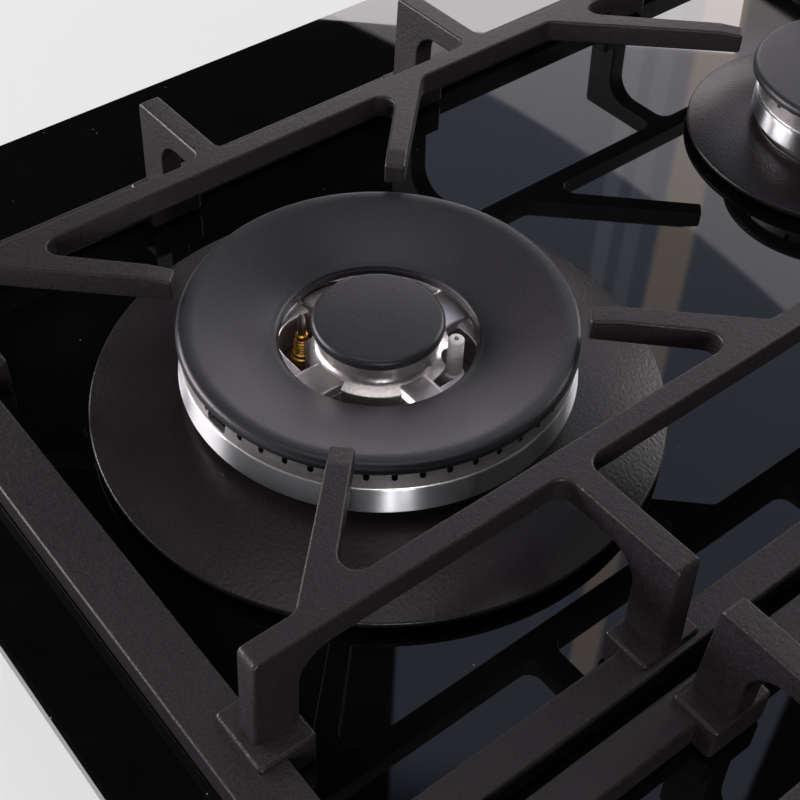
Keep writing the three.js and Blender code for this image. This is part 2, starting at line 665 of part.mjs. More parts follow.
function wokHead() {
  const w = WOK;
  const foot = w.deckHeight + SEAT_GAP;
  const base = w.deckRadius - 0.5;
  const floor = w.bandBottom - 1.5;
  const outerWall = w.portRadius - w.ringWall;
  const innerTop = ringCapLow() - w.capThickness - SEAT_GAP;
  const ring = revolved([
    [w.ringInner, foot],
    [base, foot],
    [base, w.bandBottom - 0.8],
    [w.bandRadius, w.bandBottom],
    [w.bandRadius, w.bandTop - 0.5],
    [w.portRadius, w.bandTop],
    [w.portRadius, w.ringTop],
    [outerWall, w.ringTop],
    [outerWall, floor],
    [w.ringInner + w.ringWall, floor],
    [w.ringInner + w.ringWall, innerTop],
    [w.ringInner, innerTop],
  ], w.segments);
  const crown = revolved([
    [w.crownBore, foot - 10],
    [w.spigotRadius, foot - 10],
    [w.spigotRadius, foot],
    [w.crownFlangeRadius, foot],
    [w.crownFlangeRadius, w.crownFlangeTop],
    [w.crownFlangeRadius - 0.6, w.crownFlangeTop + 0.7],
    [w.crownRadius + 1.9, w.crownFlangeTop + 1.9],
    [w.crownRadius + 0.5, w.crownFlangeTop + 3.1],
    [w.crownRadius, w.crownFlangeTop + 4.6],
    [w.crownRadius, w.crownTop],
    [w.crownBore, w.crownTop],
  ], HOLE_SIDES);
  // Four bridges carry gas from the crown to the ring.
  const bridgeHalf = BRIDGE_WIDTH / 2;
  const bridgeShape = filletedShape([
    [-bridgeHalf, BRIDGE_BOTTOM],
    [bridgeHalf, BRIDGE_BOTTOM],
    [bridgeHalf, BRIDGE_TOP - BRIDGE_SHOULDER],
    [bridgeHalf - BRIDGE_SHOULDER, BRIDGE_TOP],
    [-bridgeHalf + BRIDGE_SHOULDER, BRIDGE_TOP],
    [-bridgeHalf, BRIDGE_TOP - BRIDGE_SHOULDER],
  ]);
  const bridgeLength = w.ringInner + w.ringWall / 2 - w.crownRadius + w.ringWall / 2;
  const bridge = solidOf(
    new THREE.ExtrudeGeometry(bridgeShape, { depth: bridgeLength, bevelEnabled: false })
      .rotateX(Math.PI / 2)
      .translate(0, w.crownRadius + bridgeLength - w.ringWall / 2, 0),
  );
  const ports = aroundZ(
    block(
      w.portRadius - w.ringWall - CUT_MARGIN,
      w.portRadius + CUT_MARGIN,
      -WOK_PORT_WIDTH / 2,
      WOK_PORT_WIDTH / 2,
      w.ringTop - WOK_PORT_DEPTH,
      w.ringTop + CUT_MARGIN,
    ),
    WOK_PORTS,
    180 / WOK_PORTS,
  );
  const window = block(
    w.portRadius - w.ringWall - CUT_MARGIN,
    w.bandRadius + CUT_MARGIN,
    -WOK_WINDOW_WIDTH / 2,
    WOK_WINDOW_WIDTH / 2,
    w.bandTop + 0.8,
    w.ringTop + CUT_MARGIN,
  ).rotate([0, 0, WOK_WINDOW_ANGLE]);
  const crownPorts = aroundZ(
    block(
      w.crownBore - CUT_MARGIN,
      w.crownRadius + CUT_MARGIN,
      -CROWN_PORT_WIDTH / 2,
      CROWN_PORT_WIDTH / 2,
      w.crownTop - CROWN_PORT_DEPTH,
      w.crownTop + CUT_MARGIN,
    ),
    CROWN_PORTS,
  );
  // The crown's flange is hollowed beside the electrode and the thermocouple.
  const hollows = [WOK_ELECTRODE_ANGLE, WOK_THERMOCOUPLE_ANGLE].map((angle) => {
    const [x, y] = polar(WOK_PROBE_RADIUS, angle);
    const radius = THERMOCOUPLE_HEX_RADIUS + 2 * RUNNING_GAP;
    return post(radius, foot - CUT_MARGIN, BRIDGE_TOP + CUT_MARGIN, SMALL_SIDES, x, y);
  });
  return joined([ring, crown, aroundZ(bridge, 4)]).subtract(joined([ports, window, crownPorts, ...hollows]));
}

/** Cup that carries a burner: a column on the box floor, a bowl and a deck flange. */
function burnerCup(bowlRadius, deckRadius, deckHeight, bore, segments) {
  const floor = BOX_FLOOR - GLASS_TOP;
  const bowlBottom = floor + CUP_FLOOR;
  const deckUnder = deckHeight - CUP_WALL;
  return revolved([
    [0, floor],
    [COLUMN_FOOT_RADIUS, floor],
    [COLUMN_FOOT_RADIUS, floor + COLUMN_FOOT_HEIGHT],
    [COLUMN_RADIUS, bowlBottom - 2],
    [bowlRadius, bowlBottom],
    [bowlRadius, deckUnder],
    [deckRadius, deckUnder],
    [deckRadius, deckHeight],
    [bore, deckHeight],
    [bore, bowlBottom + CUP_WALL],
    [0, bowlBottom + CUP_WALL],
  ], segments);
}

function plainHead(burner) {
  const foot = burner.deckHeight + SEAT_GAP;
  const spigot = burner.headRadius - HEAD_WALL;
  const body = revolved([
    [spigot - 2.5, foot - 8],
    [spigot, foot - 8],
    [spigot, foot],
    [burner.headRadius - 3, foot],
    [burner.headRadius - 3, PLAIN_BAND_BOTTOM - 1],
    [burner.headRadius + 1.2, PLAIN_BAND_BOTTOM],
    [burner.headRadius + 1.2, PLAIN_BAND_TOP],
    [burner.headRadius, PLAIN_BAND_TOP + 0.8],
    [burner.headRadius, PLAIN_HEAD_TOP],
    [spigot - 2.5, PLAIN_HEAD_TOP],
  ], burner.segments);
  const ports = aroundZ(
    block(
      spigot - 2.5 - CUT_MARGIN,
      burner.headRadius + CUT_MARGIN,
      -PLAIN_PORT_WIDTH / 2,
      PLAIN_PORT_WIDTH / 2,
      PLAIN_HEAD_TOP - PLAIN_PORT_DEPTH,
      PLAIN_HEAD_TOP + CUT_MARGIN,
    ),
    burner.ports,
    180 / burner.ports,
  );
  return body.subtract(ports);
}

function electrode(bottom, top) {
  return revolved([
    [0, bottom],
    [ELECTRODE_SLEEVE_RADIUS, bottom],
    [ELECTRODE_SLEEVE_RADIUS, bottom + ELECTRODE_SLEEVE_HEIGHT],
    [ELECTRODE_RADIUS, bottom + ELECTRODE_SLEEVE_HEIGHT],
    [ELECTRODE_RADIUS, top - 0.8],
    [ELECTRODE_RADIUS - 0.5, top],
    [ELECTRODE_TIP_RADIUS, top],
    [ELECTRODE_TIP_RADIUS, top + 0.7],
    [0, top + 0.7],
  ], PROBE_SIDES);
}

function thermocouple(bottom, top) {
  return revolved([
    [0, bottom],
    [THERMOCOUPLE_HEX_RADIUS, bottom],
    [THERMOCOUPLE_HEX_RADIUS, bottom + 3.4],
    [THERMOCOUPLE_NUT_RADIUS, bottom + 4],
    [THERMOCOUPLE_NUT_RADIUS, bottom + 9.6],
    [THERMOCOUPLE_TIP_RADIUS, bottom + 9.6],
    [THERMOCOUPLE_TIP_RADIUS, top - 3.4],
    [THERMOCOUPLE_TIP_RADIUS * 0.55, top],
    [0, top],
  ], PROBE_SIDES);
}

/** Where something stands at an angle and a distance from a burner's centre. */
function polar(radius, degrees) {
  const angle = THREE.MathUtils.degToRad(degrees);
  return [radius * Math.cos(angle), radius * Math.sin(angle)];
}

function addWokBurner(root, x, y) {
  const group = new THREE.Group();
  group.position.set(x, y, GLASS_TOP);
  root.add(group);
  const cupSolid = burnerCup(
    WOK_CUP_RADIUS,
    WOK.deckRadius,
    WOK.deckHeight,
    WOK.spigotRadius + RUNNING_GAP,
    HOLE_SIDES,
  );
  piece("wok_cup", cupSolid, ALUMINIUM_MATERIAL, group);
  piece("wok_skirt", skirt(WOK), SKIRT_MATERIAL, group);
  piece("wok_head", wokHead(), ALUMINIUM_MATERIAL, group);
  piece("wok_ring_cap", ringCap(), ENAMEL_MATERIAL, group);
  const innerCap = cap(WOK.innerCapRadius, WOK.crownTop + SEAT_GAP, WOK.innerCapThickness, HOLE_SIDES);
  piece("wok_inner_cap", innerCap, ENAMEL_MATERIAL, group);
  const foot = WOK.deckHeight + SEAT_GAP;
  const [ex, ey] = polar(WOK_PROBE_RADIUS, WOK_ELECTRODE_ANGLE);
  piece("wok_electrode", electrode(foot, WOK_ELECTRODE_TOP), CERAMIC_MATERIAL, group, ex, ey);
  const [tx, ty] = polar(WOK_PROBE_RADIUS, WOK_THERMOCOUPLE_ANGLE);
  piece("wok_thermocouple", thermocouple(foot, WOK_THERMOCOUPLE_TOP), BRASS_MATERIAL, group, tx, ty);
}

/** Sizes of a plain burner that follow from its cap and head. */
function plainBurner(sizes) {
  const probe = sizes.capRadius + PLAIN_PROBE_CLEARANCE;
  const deckRadius = probe + ELECTRODE_SLEEVE_RADIUS;
  return {
    ...sizes,
    probe,
    deckRadius,
    deckHeight: PLAIN_DECK,
    glassHole: deckRadius + 1,
    skirtRim: PLAIN_SKIRT_RIM,
    skirtCrown: PLAIN_SKIRT_CROWN,
    skirtInner: sizes.headRadius - 2,
  };
}

function addPlainBurner(root, burner, x, y) {
  const group = new THREE.Group();
  group.position.set(x, y, GLASS_TOP);
  root.add(group);
  const { name, probe, deckHeight, headRadius, segments } = burner;
  const bore = headRadius - HEAD_WALL + RUNNING_GAP;
  const cupSolid = burnerCup(bore + CUP_WALL, burner.deckRadius, deckHeight, bore, segments);
  piece(`${name}_cup`, cupSolid, ALUMINIUM_MATERIAL, group);
  const probeSpots = [polar(probe, 40), polar(probe, 140)];
  let plate = skirt(burner);
  for (const [px, py] of probeSpots) {
    const radius = THERMOCOUPLE_HEX_RADIUS + RUNNING_GAP;
    plate = plate.subtract(post(radius, 0, PLAIN_SKIRT_CROWN + CUT_MARGIN, PROBE_SIDES, px, py));
  }
  piece(`${name}_skirt`, plate, SKIRT_MATERIAL, group);
  piece(`${name}_head`, plainHead(burner), ALUMINIUM_MATERIAL, group);
  const lid = cap(burner.capRadius, PLAIN_HEAD_TOP + SEAT_GAP, PLAIN_CAP_THICKNESS, segments);
  piece(`${name}_cap`, lid, ENAMEL_MATERIAL, group);
  const foot = deckHeight + SEAT_GAP;
  const [[ex, ey], [tx, ty]] = probeSpots;
  piece(`${name}_electrode`, electrode(foot, PLAIN_ELECTRODE_TOP), CERAMIC_MATERIAL, group, ex, ey);
  piece(`${name}_thermocouple`, thermocouple(foot, PLAIN_THERMOCOUPLE_TOP), BRASS_MATERIAL, group, tx, ty);
}

// ---- Controls ----
/** Cross section of the stem, round with one flat. */
function stemSolid(radius, flat, bottom, top) {
  const round = post(radius, bottom, top, SMALL_SIDES);
  return round.subtract(
    block(flat, radius + CUT_MARGIN, -radius - 1, radius + 1, bottom - CUT_MARGIN, top + CUT_MARGIN),
  );
}

function knob() {
  const base = revolved([
    [0, 0],
    [KNOB_RADIUS, 0],
    [KNOB_RADIUS, 2],
    [KNOB_TOP_RADIUS, KNOB_BASE_HEIGHT - 1],
    [KNOB_TOP_RADIUS - 1, KNOB_BASE_HEIGHT],
    [0, KNOB_BASE_HEIGHT],
  ], KNOB_SIDES);
  const grip = extruded(
    roundedRectangle(KNOB_GRIP_WIDTH, 2 * KNOB_TOP_RADIUS, KNOB_GRIP_WIDTH / 2 - 0.5),
    0,
    KNOB_HEIGHT,
    KNOB_GRIP_BEVEL,
  );
  const envelope = post(KNOB_TOP_RADIUS, 0, KNOB_HEIGHT, KNOB_SIDES);
  const socket = stemSolid(
    STEM_RADIUS + RUNNING_GAP,
    STEM_FLAT + RUNNING_GAP,
    -CUT_MARGIN,
    STEM_ENGAGEMENT + RUNNING_GAP,
  );
  const recess = revolved([
    [0, -CUT_MARGIN],
    [KNOB_RADIUS - KNOB_WALL, -CUT_MARGIN],
    [KNOB_RADIUS - KNOB_WALL, KNOB_BASE_HEIGHT - KNOB_WALL],
    [0, KNOB_BASE_HEIGHT - KNOB_WALL],
  ], SMALL_SIDES);
  const hub = post(STEM_RADIUS + KNOB_WALL, 0.2, KNOB_BASE_HEIGHT, SMALL_SIDES);
  const mark = block(
    -KNOB_MARK_WIDTH / 2,
    KNOB_MARK_WIDTH / 2,
    KNOB_TOP_RADIUS - KNOB_MARK_LENGTH,
    KNOB_RADIUS,
    KNOB_HEIGHT - KNOB_MARK_DEPTH,
    KNOB_HEIGHT + CUT_MARGIN,
  );
  return base.add(grip.intersect(envelope)).subtract(recess).add(hub).subtract(socket).subtract(mark);
}

function valveBody(railTop) {
  const bottom = railTop + SEAT_GAP;
  const pocketFloor = VALVE_TOP - COLLAR_POCKET;
  const stemBottom = VALVE_TOP - STEM_INSERTION;
  const body = revolved([
    [0, bottom],
    [VALVE_RADIUS - 3, bottom],
    [VALVE_RADIUS, bottom + 3],
    [VALVE_RADIUS, VALVE_TOP],
    [COLLAR_RADIUS + RUNNING_GAP, VALVE_TOP],
    [COLLAR_RADIUS + RUNNING_GAP, pocketFloor],
    [STEM_RADIUS + RUNNING_GAP, pocketFloor],
    [STEM_RADIUS + RUNNING_GAP, stemBottom - 5],
    [0, stemBottom - 5],
  ], SMALL_SIDES);
  const portLength = VALVE_PORT_LENGTH + 4;
  const port = new THREE.CylinderGeometry(VALVE_PORT_RADIUS, VALVE_PORT_RADIUS, portLength, PROBE_SIDES)
    .rotateZ(Math.PI / 2)
    .translate(-VALVE_RADIUS - VALVE_PORT_LENGTH / 2 + 2, 0, VALVE_PORT_HEIGHT);
  const keep = post(STEM_RADIUS + RUNNING_GAP + 2, 0, BOX_HEIGHT, SMALL_SIDES);
  return body.add(solidOf(port).subtract(keep));
}

function addControl(root, name, y) {
  const group = new THREE.Group();
  group.position.set(CONTROL_X, y, 0);
  root.add(group);
  const railTop = BOX_FLOOR + RAIL_HEIGHT;
  piece(`${name}_valve`, valveBody(railTop), BRASS_MATERIAL, group);
  const knobBottom = GLASS_TOP + KNOB_LIFT;
  const stemBottom = VALVE_TOP - STEM_INSERTION;
  const stem = stemSolid(STEM_RADIUS, STEM_FLAT, stemBottom, knobBottom + STEM_ENGAGEMENT);
  piece(`${name}_stem`, stem, STEEL_MATERIAL, group);
  const collarBottom = VALVE_TOP - COLLAR_THICKNESS - 1;
  const collar = revolved([
    [STEM_RADIUS + RUNNING_GAP, collarBottom],
    [COLLAR_RADIUS, collarBottom],
    [COLLAR_RADIUS, collarBottom + COLLAR_THICKNESS],
    [STEM_RADIUS + RUNNING_GAP, collarBottom + COLLAR_THICKNESS],
  ], SMALL_SIDES);
  piece(`${name}_collar`, collar, STEEL_MATERIAL, group);
  piece(`${name}_knob`, knob(), KNOB_MATERIAL, group, 0, 0, knobBottom);
}

// ---- Gas rail with its inlet, and feed tubes ----
function gasRail(frontY) {
  const axis = BOX_FLOOR + RAIL_HEIGHT / 2;
  const front = frontY - RAIL_OVERHANG;
  const wallInside = BOX_LENGTH / 2 - BOX_WALL;
  const back = wallInside - INLET_HEX_LENGTH - SEAT_GAP;
  const section = roundedRectangle(RAIL_WIDTH, RAIL_HEIGHT, RAIL_CORNER);
  const rail = new THREE.ExtrudeGeometry(section, { depth: back - front, bevelEnabled: false })
    .rotateX(Math.PI / 2)
    .translate(0, back, axis);
  const inletAxis = BOX_FLOOR + INLET_RADIUS;
  const along = (radius, start, end, sides) =>
    solidOf(
      new THREE.CylinderGeometry(radius, radius, end - start, sides)
        .rotateY(Math.PI / sides)
        .translate(0, (start + end) / 2, inletAxis),
    );
  const tip = BOX_LENGTH / 2 + INLET_REACH;
  const nipple = along(INLET_RADIUS, back - 6, tip, SMALL_SIDES);
  const shoulder = along(INLET_HEX_RADIUS, BOX_LENGTH / 2 + SEAT_GAP, BOX_LENGTH / 2 + 6, 6);
  const bore = along(INLET_BORE, tip - 22, tip + CUT_MARGIN, PROBE_SIDES);
  return solidOf(rail).add(nipple).add(shoulder).subtract(bore);
}

/** Feed tube from a valve's port to the side of a burner cup. */
function feedTube(valveY, cupX, cupY, cupRadius) {
  const startX = CONTROL_X - VALVE_RADIUS - VALVE_PORT_LENGTH - SEAT_GAP;
  const endX = cupX + cupRadius + SEAT_GAP;
  const bendEnd = endX + 18;
  const bendStart = Math.min(startX - TUBE_LEAD, bendEnd + TUBE_BEND_RUN);
  const points = [new THREE.Vector3(startX, valveY, VALVE_PORT_HEIGHT)];
  for (let i = 0; i <= TUBE_BEND_STEPS; i += 1) {
    const t = i / TUBE_BEND_STEPS;
    const ease = t * t * (3 - 2 * t);
    points.push(new THREE.Vector3(
      THREE.MathUtils.lerp(bendStart, bendEnd, t),
      THREE.MathUtils.lerp(valveY, cupY, ease),
      VALVE_PORT_HEIGHT,
    ));
  }
  points.push(new THREE.Vector3(endX, cupY, VALVE_PORT_HEIGHT));
  const path = new THREE.CurvePath();
  for (let i = 1; i < points.length; i += 1) {
    path.add(new THREE.LineCurve3(points[i - 1], points[i]));
  }
  const frames = points.map((point, i) => {
    const before = points[Math.max(i - 1, 0)];
    const after = points[Math.min(i + 1, points.length - 1)];
    const tangent = after.clone().sub(before).normalize();
    return { point, side: new THREE.Vector3(-tangent.y, tangent.x, 0) };
  });
  const positions = [];
  const index = [];
  for (const { point, side } of frames) {
    for (let k = 0; k < TUBE_SIDES; k += 1) {
      const angle = (2 * Math.PI * k) / TUBE_SIDES;
      const spot = point.clone().addScaledVector(side, TUBE_RADIUS * Math.cos(angle));
      positions.push(spot.x, spot.y, spot.z + TUBE_RADIUS * Math.sin(angle));
    }
  }
  const rings = frames.length;
  for (let i = 0; i < rings - 1; i += 1) {
    for (let k = 0; k < TUBE_SIDES; k += 1) {
      const a = i * TUBE_SIDES + k;
      const b = i * TUBE_SIDES + ((k + 1) % TUBE_SIDES);
      index.push(a, b, a + TUBE_SIDES, b, b + TUBE_SIDES, a + TUBE_SIDES);
    }
  }
  for (let k = 1; k < TUBE_SIDES - 1; k += 1) {
    index.push(0, k + 1, k);
    const last = (rings - 1) * TUBE_SIDES;
    index.push(last, last + k, last + k + 1);
  }
  const geometry = new THREE.BufferGeometry();
  geometry.setAttribute("position", new THREE.Float32BufferAttribute(positions, 3));
  geometry.setIndex(index);
  return solidOf(geometry);
}

// ---- Assembly ----
const cooktop = new THREE.Group();
cooktop.name = "gas_cooktop";

const rapid = plainBurner(RAPID);
const semiRapid = plainBurner(SEMI_RAPID);
const auxiliary = plainBurner(AUXILIARY);
const burners = [
  { ...WOK, x: LEFT_X, y: FRONT_Y },
  { ...rapid, x: LEFT_X, y: REAR_Y },
  { ...semiRapid, x: RIGHT_X, y: REAR_Y },
  { ...auxiliary, x: RIGHT_X, y: FRONT_Y },
];
const controlY = (place) => CONTROL_SHIFT_Y + (place - 1.5) * CONTROL_PITCH;
const plainCupRadius = (burner) => burner.headRadius - HEAD_WALL + RUNNING_GAP + CUP_WALL;
const controls = [
  { name: "auxiliary", y: controlY(0), x: RIGHT_X, cupY: FRONT_Y, cupRadius: plainCupRadius(auxiliary) },
  { name: "wok", y: controlY(1), x: LEFT_X, cupY: FRONT_Y, cupRadius: WOK_CUP_RADIUS },
  { name: "rapid", y: controlY(2), x: LEFT_X, cupY: REAR_Y, cupRadius: plainCupRadius(rapid) },
  { name: "semi_rapid", y: controlY(3), x: RIGHT_X, cupY: REAR_Y, cupRadius: plainCupRadius(semiRapid) },
];

piece("burner_box", burnerBox(), STEEL_MATERIAL, cooktop);
piece("gasket", gasket(), RUBBER_MATERIAL, cooktop);
piece("worktop_seal", worktopSeal(), RUBBER_MATERIAL, cooktop);
piece("glass_panel", glassPanel(burners, controls), GLASS_MATERIAL, cooktop);

const plainTip = (burner) => burner.capRadius + SMALL_BURNER_TIP_CLEARANCE;
const wokTip = WOK.capRadius + FINGER_TIP_CLEARANCE;
const supports = [
  { name: "support_left", x: SUPPORT_LEFT_X, front: wokTip, rear: plainTip(rapid) },
  { name: "support_right", x: SUPPORT_RIGHT_X, front: plainTip(auxiliary), rear: plainTip(semiRapid) },
];
const corners = { front_left: [-1, -1], front_right: [1, -1], rear_left: [-1, 1], rear_right: [1, 1] };
for (const { name, x, front, rear } of supports) {
  piece(name, panSupport(front, rear), IRON_MATERIAL, cooktop, x, SUPPORT_Y, GLASS_TOP);
  for (const [corner, [sideX, sideY]] of Object.entries(corners)) {
    const footX = x + sideX * (SIDE_RAIL_OUTER - FOOT_INSET);
    const footY = SUPPORT_Y + sideY * (SUPPORT_LENGTH / 2 - FOOT_INSET);
    piece(`${name}_foot_${corner}`, supportFoot(), RUBBER_MATERIAL, cooktop, footX, footY, GLASS_TOP);
  }
}

addWokBurner(cooktop, LEFT_X, FRONT_Y);
addPlainBurner(cooktop, rapid, LEFT_X, REAR_Y);
addPlainBurner(cooktop, semiRapid, RIGHT_X, REAR_Y);
addPlainBurner(cooktop, auxiliary, RIGHT_X, FRONT_Y);
for (const control of controls) {
  addControl(cooktop, control.name, control.y);
  const tube = feedTube(control.y, control.x, control.cupY, control.cupRadius);
  piece(`${control.name}_feed_tube`, tube, STEEL_MATERIAL, cooktop);
}
piece("gas_rail", gasRail(controls[0].y), STEEL_MATERIAL, cooktop, CONTROL_X, 0, 0);

export default cooktop;
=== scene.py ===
import json
import logging
import math
from dataclasses import dataclass, field
from enum import Enum
from typing import Sequence

import bmesh
import bpy
from mathutils import Matrix, Vector

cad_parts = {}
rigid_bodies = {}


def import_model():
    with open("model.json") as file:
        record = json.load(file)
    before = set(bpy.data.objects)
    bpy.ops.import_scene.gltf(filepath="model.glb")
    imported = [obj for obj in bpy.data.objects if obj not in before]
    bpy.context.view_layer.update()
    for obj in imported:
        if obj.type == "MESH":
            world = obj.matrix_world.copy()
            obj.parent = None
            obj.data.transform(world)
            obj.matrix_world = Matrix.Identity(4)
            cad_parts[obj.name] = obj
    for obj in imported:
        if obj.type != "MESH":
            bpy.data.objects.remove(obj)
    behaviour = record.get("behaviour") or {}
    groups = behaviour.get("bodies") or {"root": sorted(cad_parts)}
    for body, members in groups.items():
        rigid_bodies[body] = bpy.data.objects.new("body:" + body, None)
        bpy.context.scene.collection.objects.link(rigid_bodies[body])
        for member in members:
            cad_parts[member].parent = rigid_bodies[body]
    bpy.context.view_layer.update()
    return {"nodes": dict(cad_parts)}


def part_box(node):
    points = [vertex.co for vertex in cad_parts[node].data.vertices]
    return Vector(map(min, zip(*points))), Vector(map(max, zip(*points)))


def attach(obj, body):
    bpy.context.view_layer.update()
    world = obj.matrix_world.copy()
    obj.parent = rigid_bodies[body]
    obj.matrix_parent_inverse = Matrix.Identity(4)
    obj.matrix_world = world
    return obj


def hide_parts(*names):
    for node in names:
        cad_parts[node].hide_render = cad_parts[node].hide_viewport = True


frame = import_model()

LOG = logging.getLogger("cooktop")

MM = 0.001
GLASS_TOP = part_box("glass_panel")[1].z / MM

LYING = Matrix.Rotation(math.radians(90), 4, "Y") @ Matrix.Rotation(math.radians(90), 4, "Z")

Corner = tuple[float, ...]
Spot = tuple[float, float]
Colour = tuple[float, float, float]


def middle(node: str) -> Spot:
    """Middle of a CAD node in plan, in mm.

    Args:
        node: name of the node.

    Returns:
        Its X and Y.
    """
    low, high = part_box(node)
    return (low.x + high.x) / 2 / MM, (low.y + high.y) / 2 / MM


# ---------------------------------------------------------------- finishes
@dataclass(frozen=True)
class Relief:
    """One bump layer of a surface.

    Attributes:
        size: size of its features, mm.
        height: depth of its features, mm.
        stretch: how much finer the pattern is along each axis.
        detail: octaves of the noise.
    """

    size: float
    height: float
    stretch: tuple[float, float, float] = (1.0, 1.0, 1.0)
    detail: float = 2.0


@dataclass(frozen=True)
class Finish:
    """A procedural surface finish on Object coordinates.

    Attributes:
        name: name of the material.
        slot: the record's material slot; not used.
        colour: base colour, linear.
        second: colour that the patches drift to.
        patch: size of the colour patches, mm.
        contrast: how sharply the patches part, 0 to 1.
        roughness: lowest and highest roughness.
        smear: size of the roughness patches, mm.
        metallic: 1 for bare metal.
        specular: specular level.
        reliefs: bump layers, coarse first.
        anisotropy: stretch of the highlight on turned metal.
        specks: strength of the fine pale specks.
    """

    name: str
    slot: str
    colour: Colour
    second: Colour
    patch: float = 18.0
    contrast: float = 0.35
    roughness: tuple[float, float] = (0.45, 0.55)
    smear: float = 9.0
    metallic: float = 0.0
    specular: float = 0.5
    reliefs: tuple[Relief, ...] = ()
    anisotropy: float = 0.0
    specks: float = 0.0

    def material(self) -> bpy.types.Material:
        """The finish's material, made once.

        Returns:
            The material.
        """
        name = f"{self.name}_finish"
        found = bpy.data.materials.get(name)
        if found is not None:
            return found
        made = bpy.data.materials.new(name)
        made.use_nodes = True
        tree = made.node_tree
        shader = tree.nodes["Principled BSDF"]
        shader.inputs["Metallic"].default_value = self.metallic
        shader.inputs["Specular IOR Level"].default_value = self.specular
        shader.inputs["Anisotropic"].default_value = self.anisotropy
        shader.inputs["Anisotropic Rotation"].default_value = 0.25 if self.anisotropy else 0.0
        made.diffuse_color = (*self.colour, 1.0)
        coords = tree.nodes.new("ShaderNodeTexCoord").outputs["Object"]
        self._colour(tree, coords, shader)
        self._roughness(tree, coords, shader)
        normal = None
        for relief in self.reliefs:
            normal = self._bump(tree, coords, relief, normal)
        if normal is not None:
            tree.links.new(normal, shader.inputs["Normal"])
        if self.anisotropy > 0.0:
            tangent = tree.nodes.new("ShaderNodeTangent")
            tangent.direction_type = "RADIAL"
            tangent.axis = "Z"
            tree.links.new(tangent.outputs["Tangent"], shader.inputs["Tangent"])
        return made

    def _noise(
        self, tree: bpy.types.NodeTree, coords: bpy.types.NodeSocket, size: float, detail: float = 3.0
    ) -> bpy.types.NodeSocket:
        """Noise of a size in mm, as a value from 0 to 1."""
        node = tree.nodes.new("ShaderNodeTexNoise")
        node.inputs["Scale"].default_value = 1.0 / (size * MM)
        node.inputs["Detail"].default_value = detail
        tree.links.new(coords, node.inputs["Vector"])
        return node.outputs["Fac"]

    def _ramp(
        self, tree: bpy.types.NodeTree, value: bpy.types.NodeSocket, low: float, high: float, out: Spot
    ) -> bpy.types.NodeSocket:
        """Map a value's range low..high to out, clamped."""
        node = tree.nodes.new("ShaderNodeMapRange")
        node.inputs["From Min"].default_value = low
        node.inputs["From Max"].default_value = high
        node.inputs["To Min"].default_value = out[0]
        node.inputs["To Max"].default_value = out[1]
        tree.links.new(value, node.inputs["Value"])
        return node.outputs["Result"]

    def _colour(
        self, tree: bpy.types.NodeTree, coords: bpy.types.NodeSocket, shader: bpy.types.Node
    ) -> None:
        """Colour that drifts between the two colours, with specks where the finish has them."""
        spread = 0.28 * (1.0 - self.contrast) + 0.02
        fac = self._ramp(tree, self._noise(tree, coords, self.patch), 0.5 - spread, 0.5 + spread, (0.0, 1.0))
        mix = tree.nodes.new("ShaderNodeMix")
        mix.data_type = "RGBA"
        mix.inputs["A"].default_value = (*self.colour, 1.0)
        mix.inputs["B"].default_value = (*self.second, 1.0)
        tree.links.new(fac, mix.inputs["Factor"])
        colour = mix.outputs["Result"]
        if self.specks > 0.0:
            cells = tree.nodes.new("ShaderNodeTexVoronoi")
            cells.inputs["Scale"].default_value = 1.0 / (11.0 * MM)
            tree.links.new(coords, cells.inputs["Vector"])
            dot = self._ramp(tree, cells.outputs["Distance"], 0.012, 0.03, (self.specks, 0.0))
            dust = tree.nodes.new("ShaderNodeMix")
            dust.data_type = "RGBA"
            dust.inputs["B"].default_value = (0.35, 0.35, 0.36, 1.0)
            tree.links.new(dot, dust.inputs["Factor"])
            tree.links.new(colour, dust.inputs["A"])
            colour = dust.outputs["Result"]
        tree.links.new(colour, shader.inputs["Base Color"])

    def _roughness(
        self, tree: bpy.types.NodeTree, coords: bpy.types.NodeSocket, shader: bpy.types.Node
    ) -> None:
        """Roughness that varies over the surface, or one value on the shader's socket."""
        low, high = self.roughness
        if high - low < 1e-4:
            shader.inputs["Roughness"].default_value = low
            return
        rough = self._ramp(tree, self._noise(tree, coords, self.smear), 0.3, 0.7, (low, high))
        tree.links.new(rough, shader.inputs["Roughness"])

    def _bump(
        self,
        tree: bpy.types.NodeTree,
        coords: bpy.types.NodeSocket,
        relief: Relief,
        normal: bpy.types.NodeSocket | None,
    ) -> bpy.types.NodeSocket:
        """One bump layer over the layers before it."""
        vector = coords
        if relief.stretch != (1.0, 1.0, 1.0):
            mapping = tree.nodes.new("ShaderNodeMapping")
            mapping.inputs["Scale"].default_value = relief.stretch
            tree.links.new(coords, mapping.inputs["Vector"])
            vector = mapping.outputs["Vector"]
        height = self._noise(tree, vector, relief.size, relief.detail)
        bump = tree.nodes.new("ShaderNodeBump")
        bump.inputs["Strength"].default_value = 1.0
        bump.inputs["Distance"].default_value = relief.height * MM
        tree.links.new(height, bump.inputs["Height"])
        if normal is not None:
            tree.links.new(normal, bump.inputs["Normal"])
        return bump.outputs["Normal"]


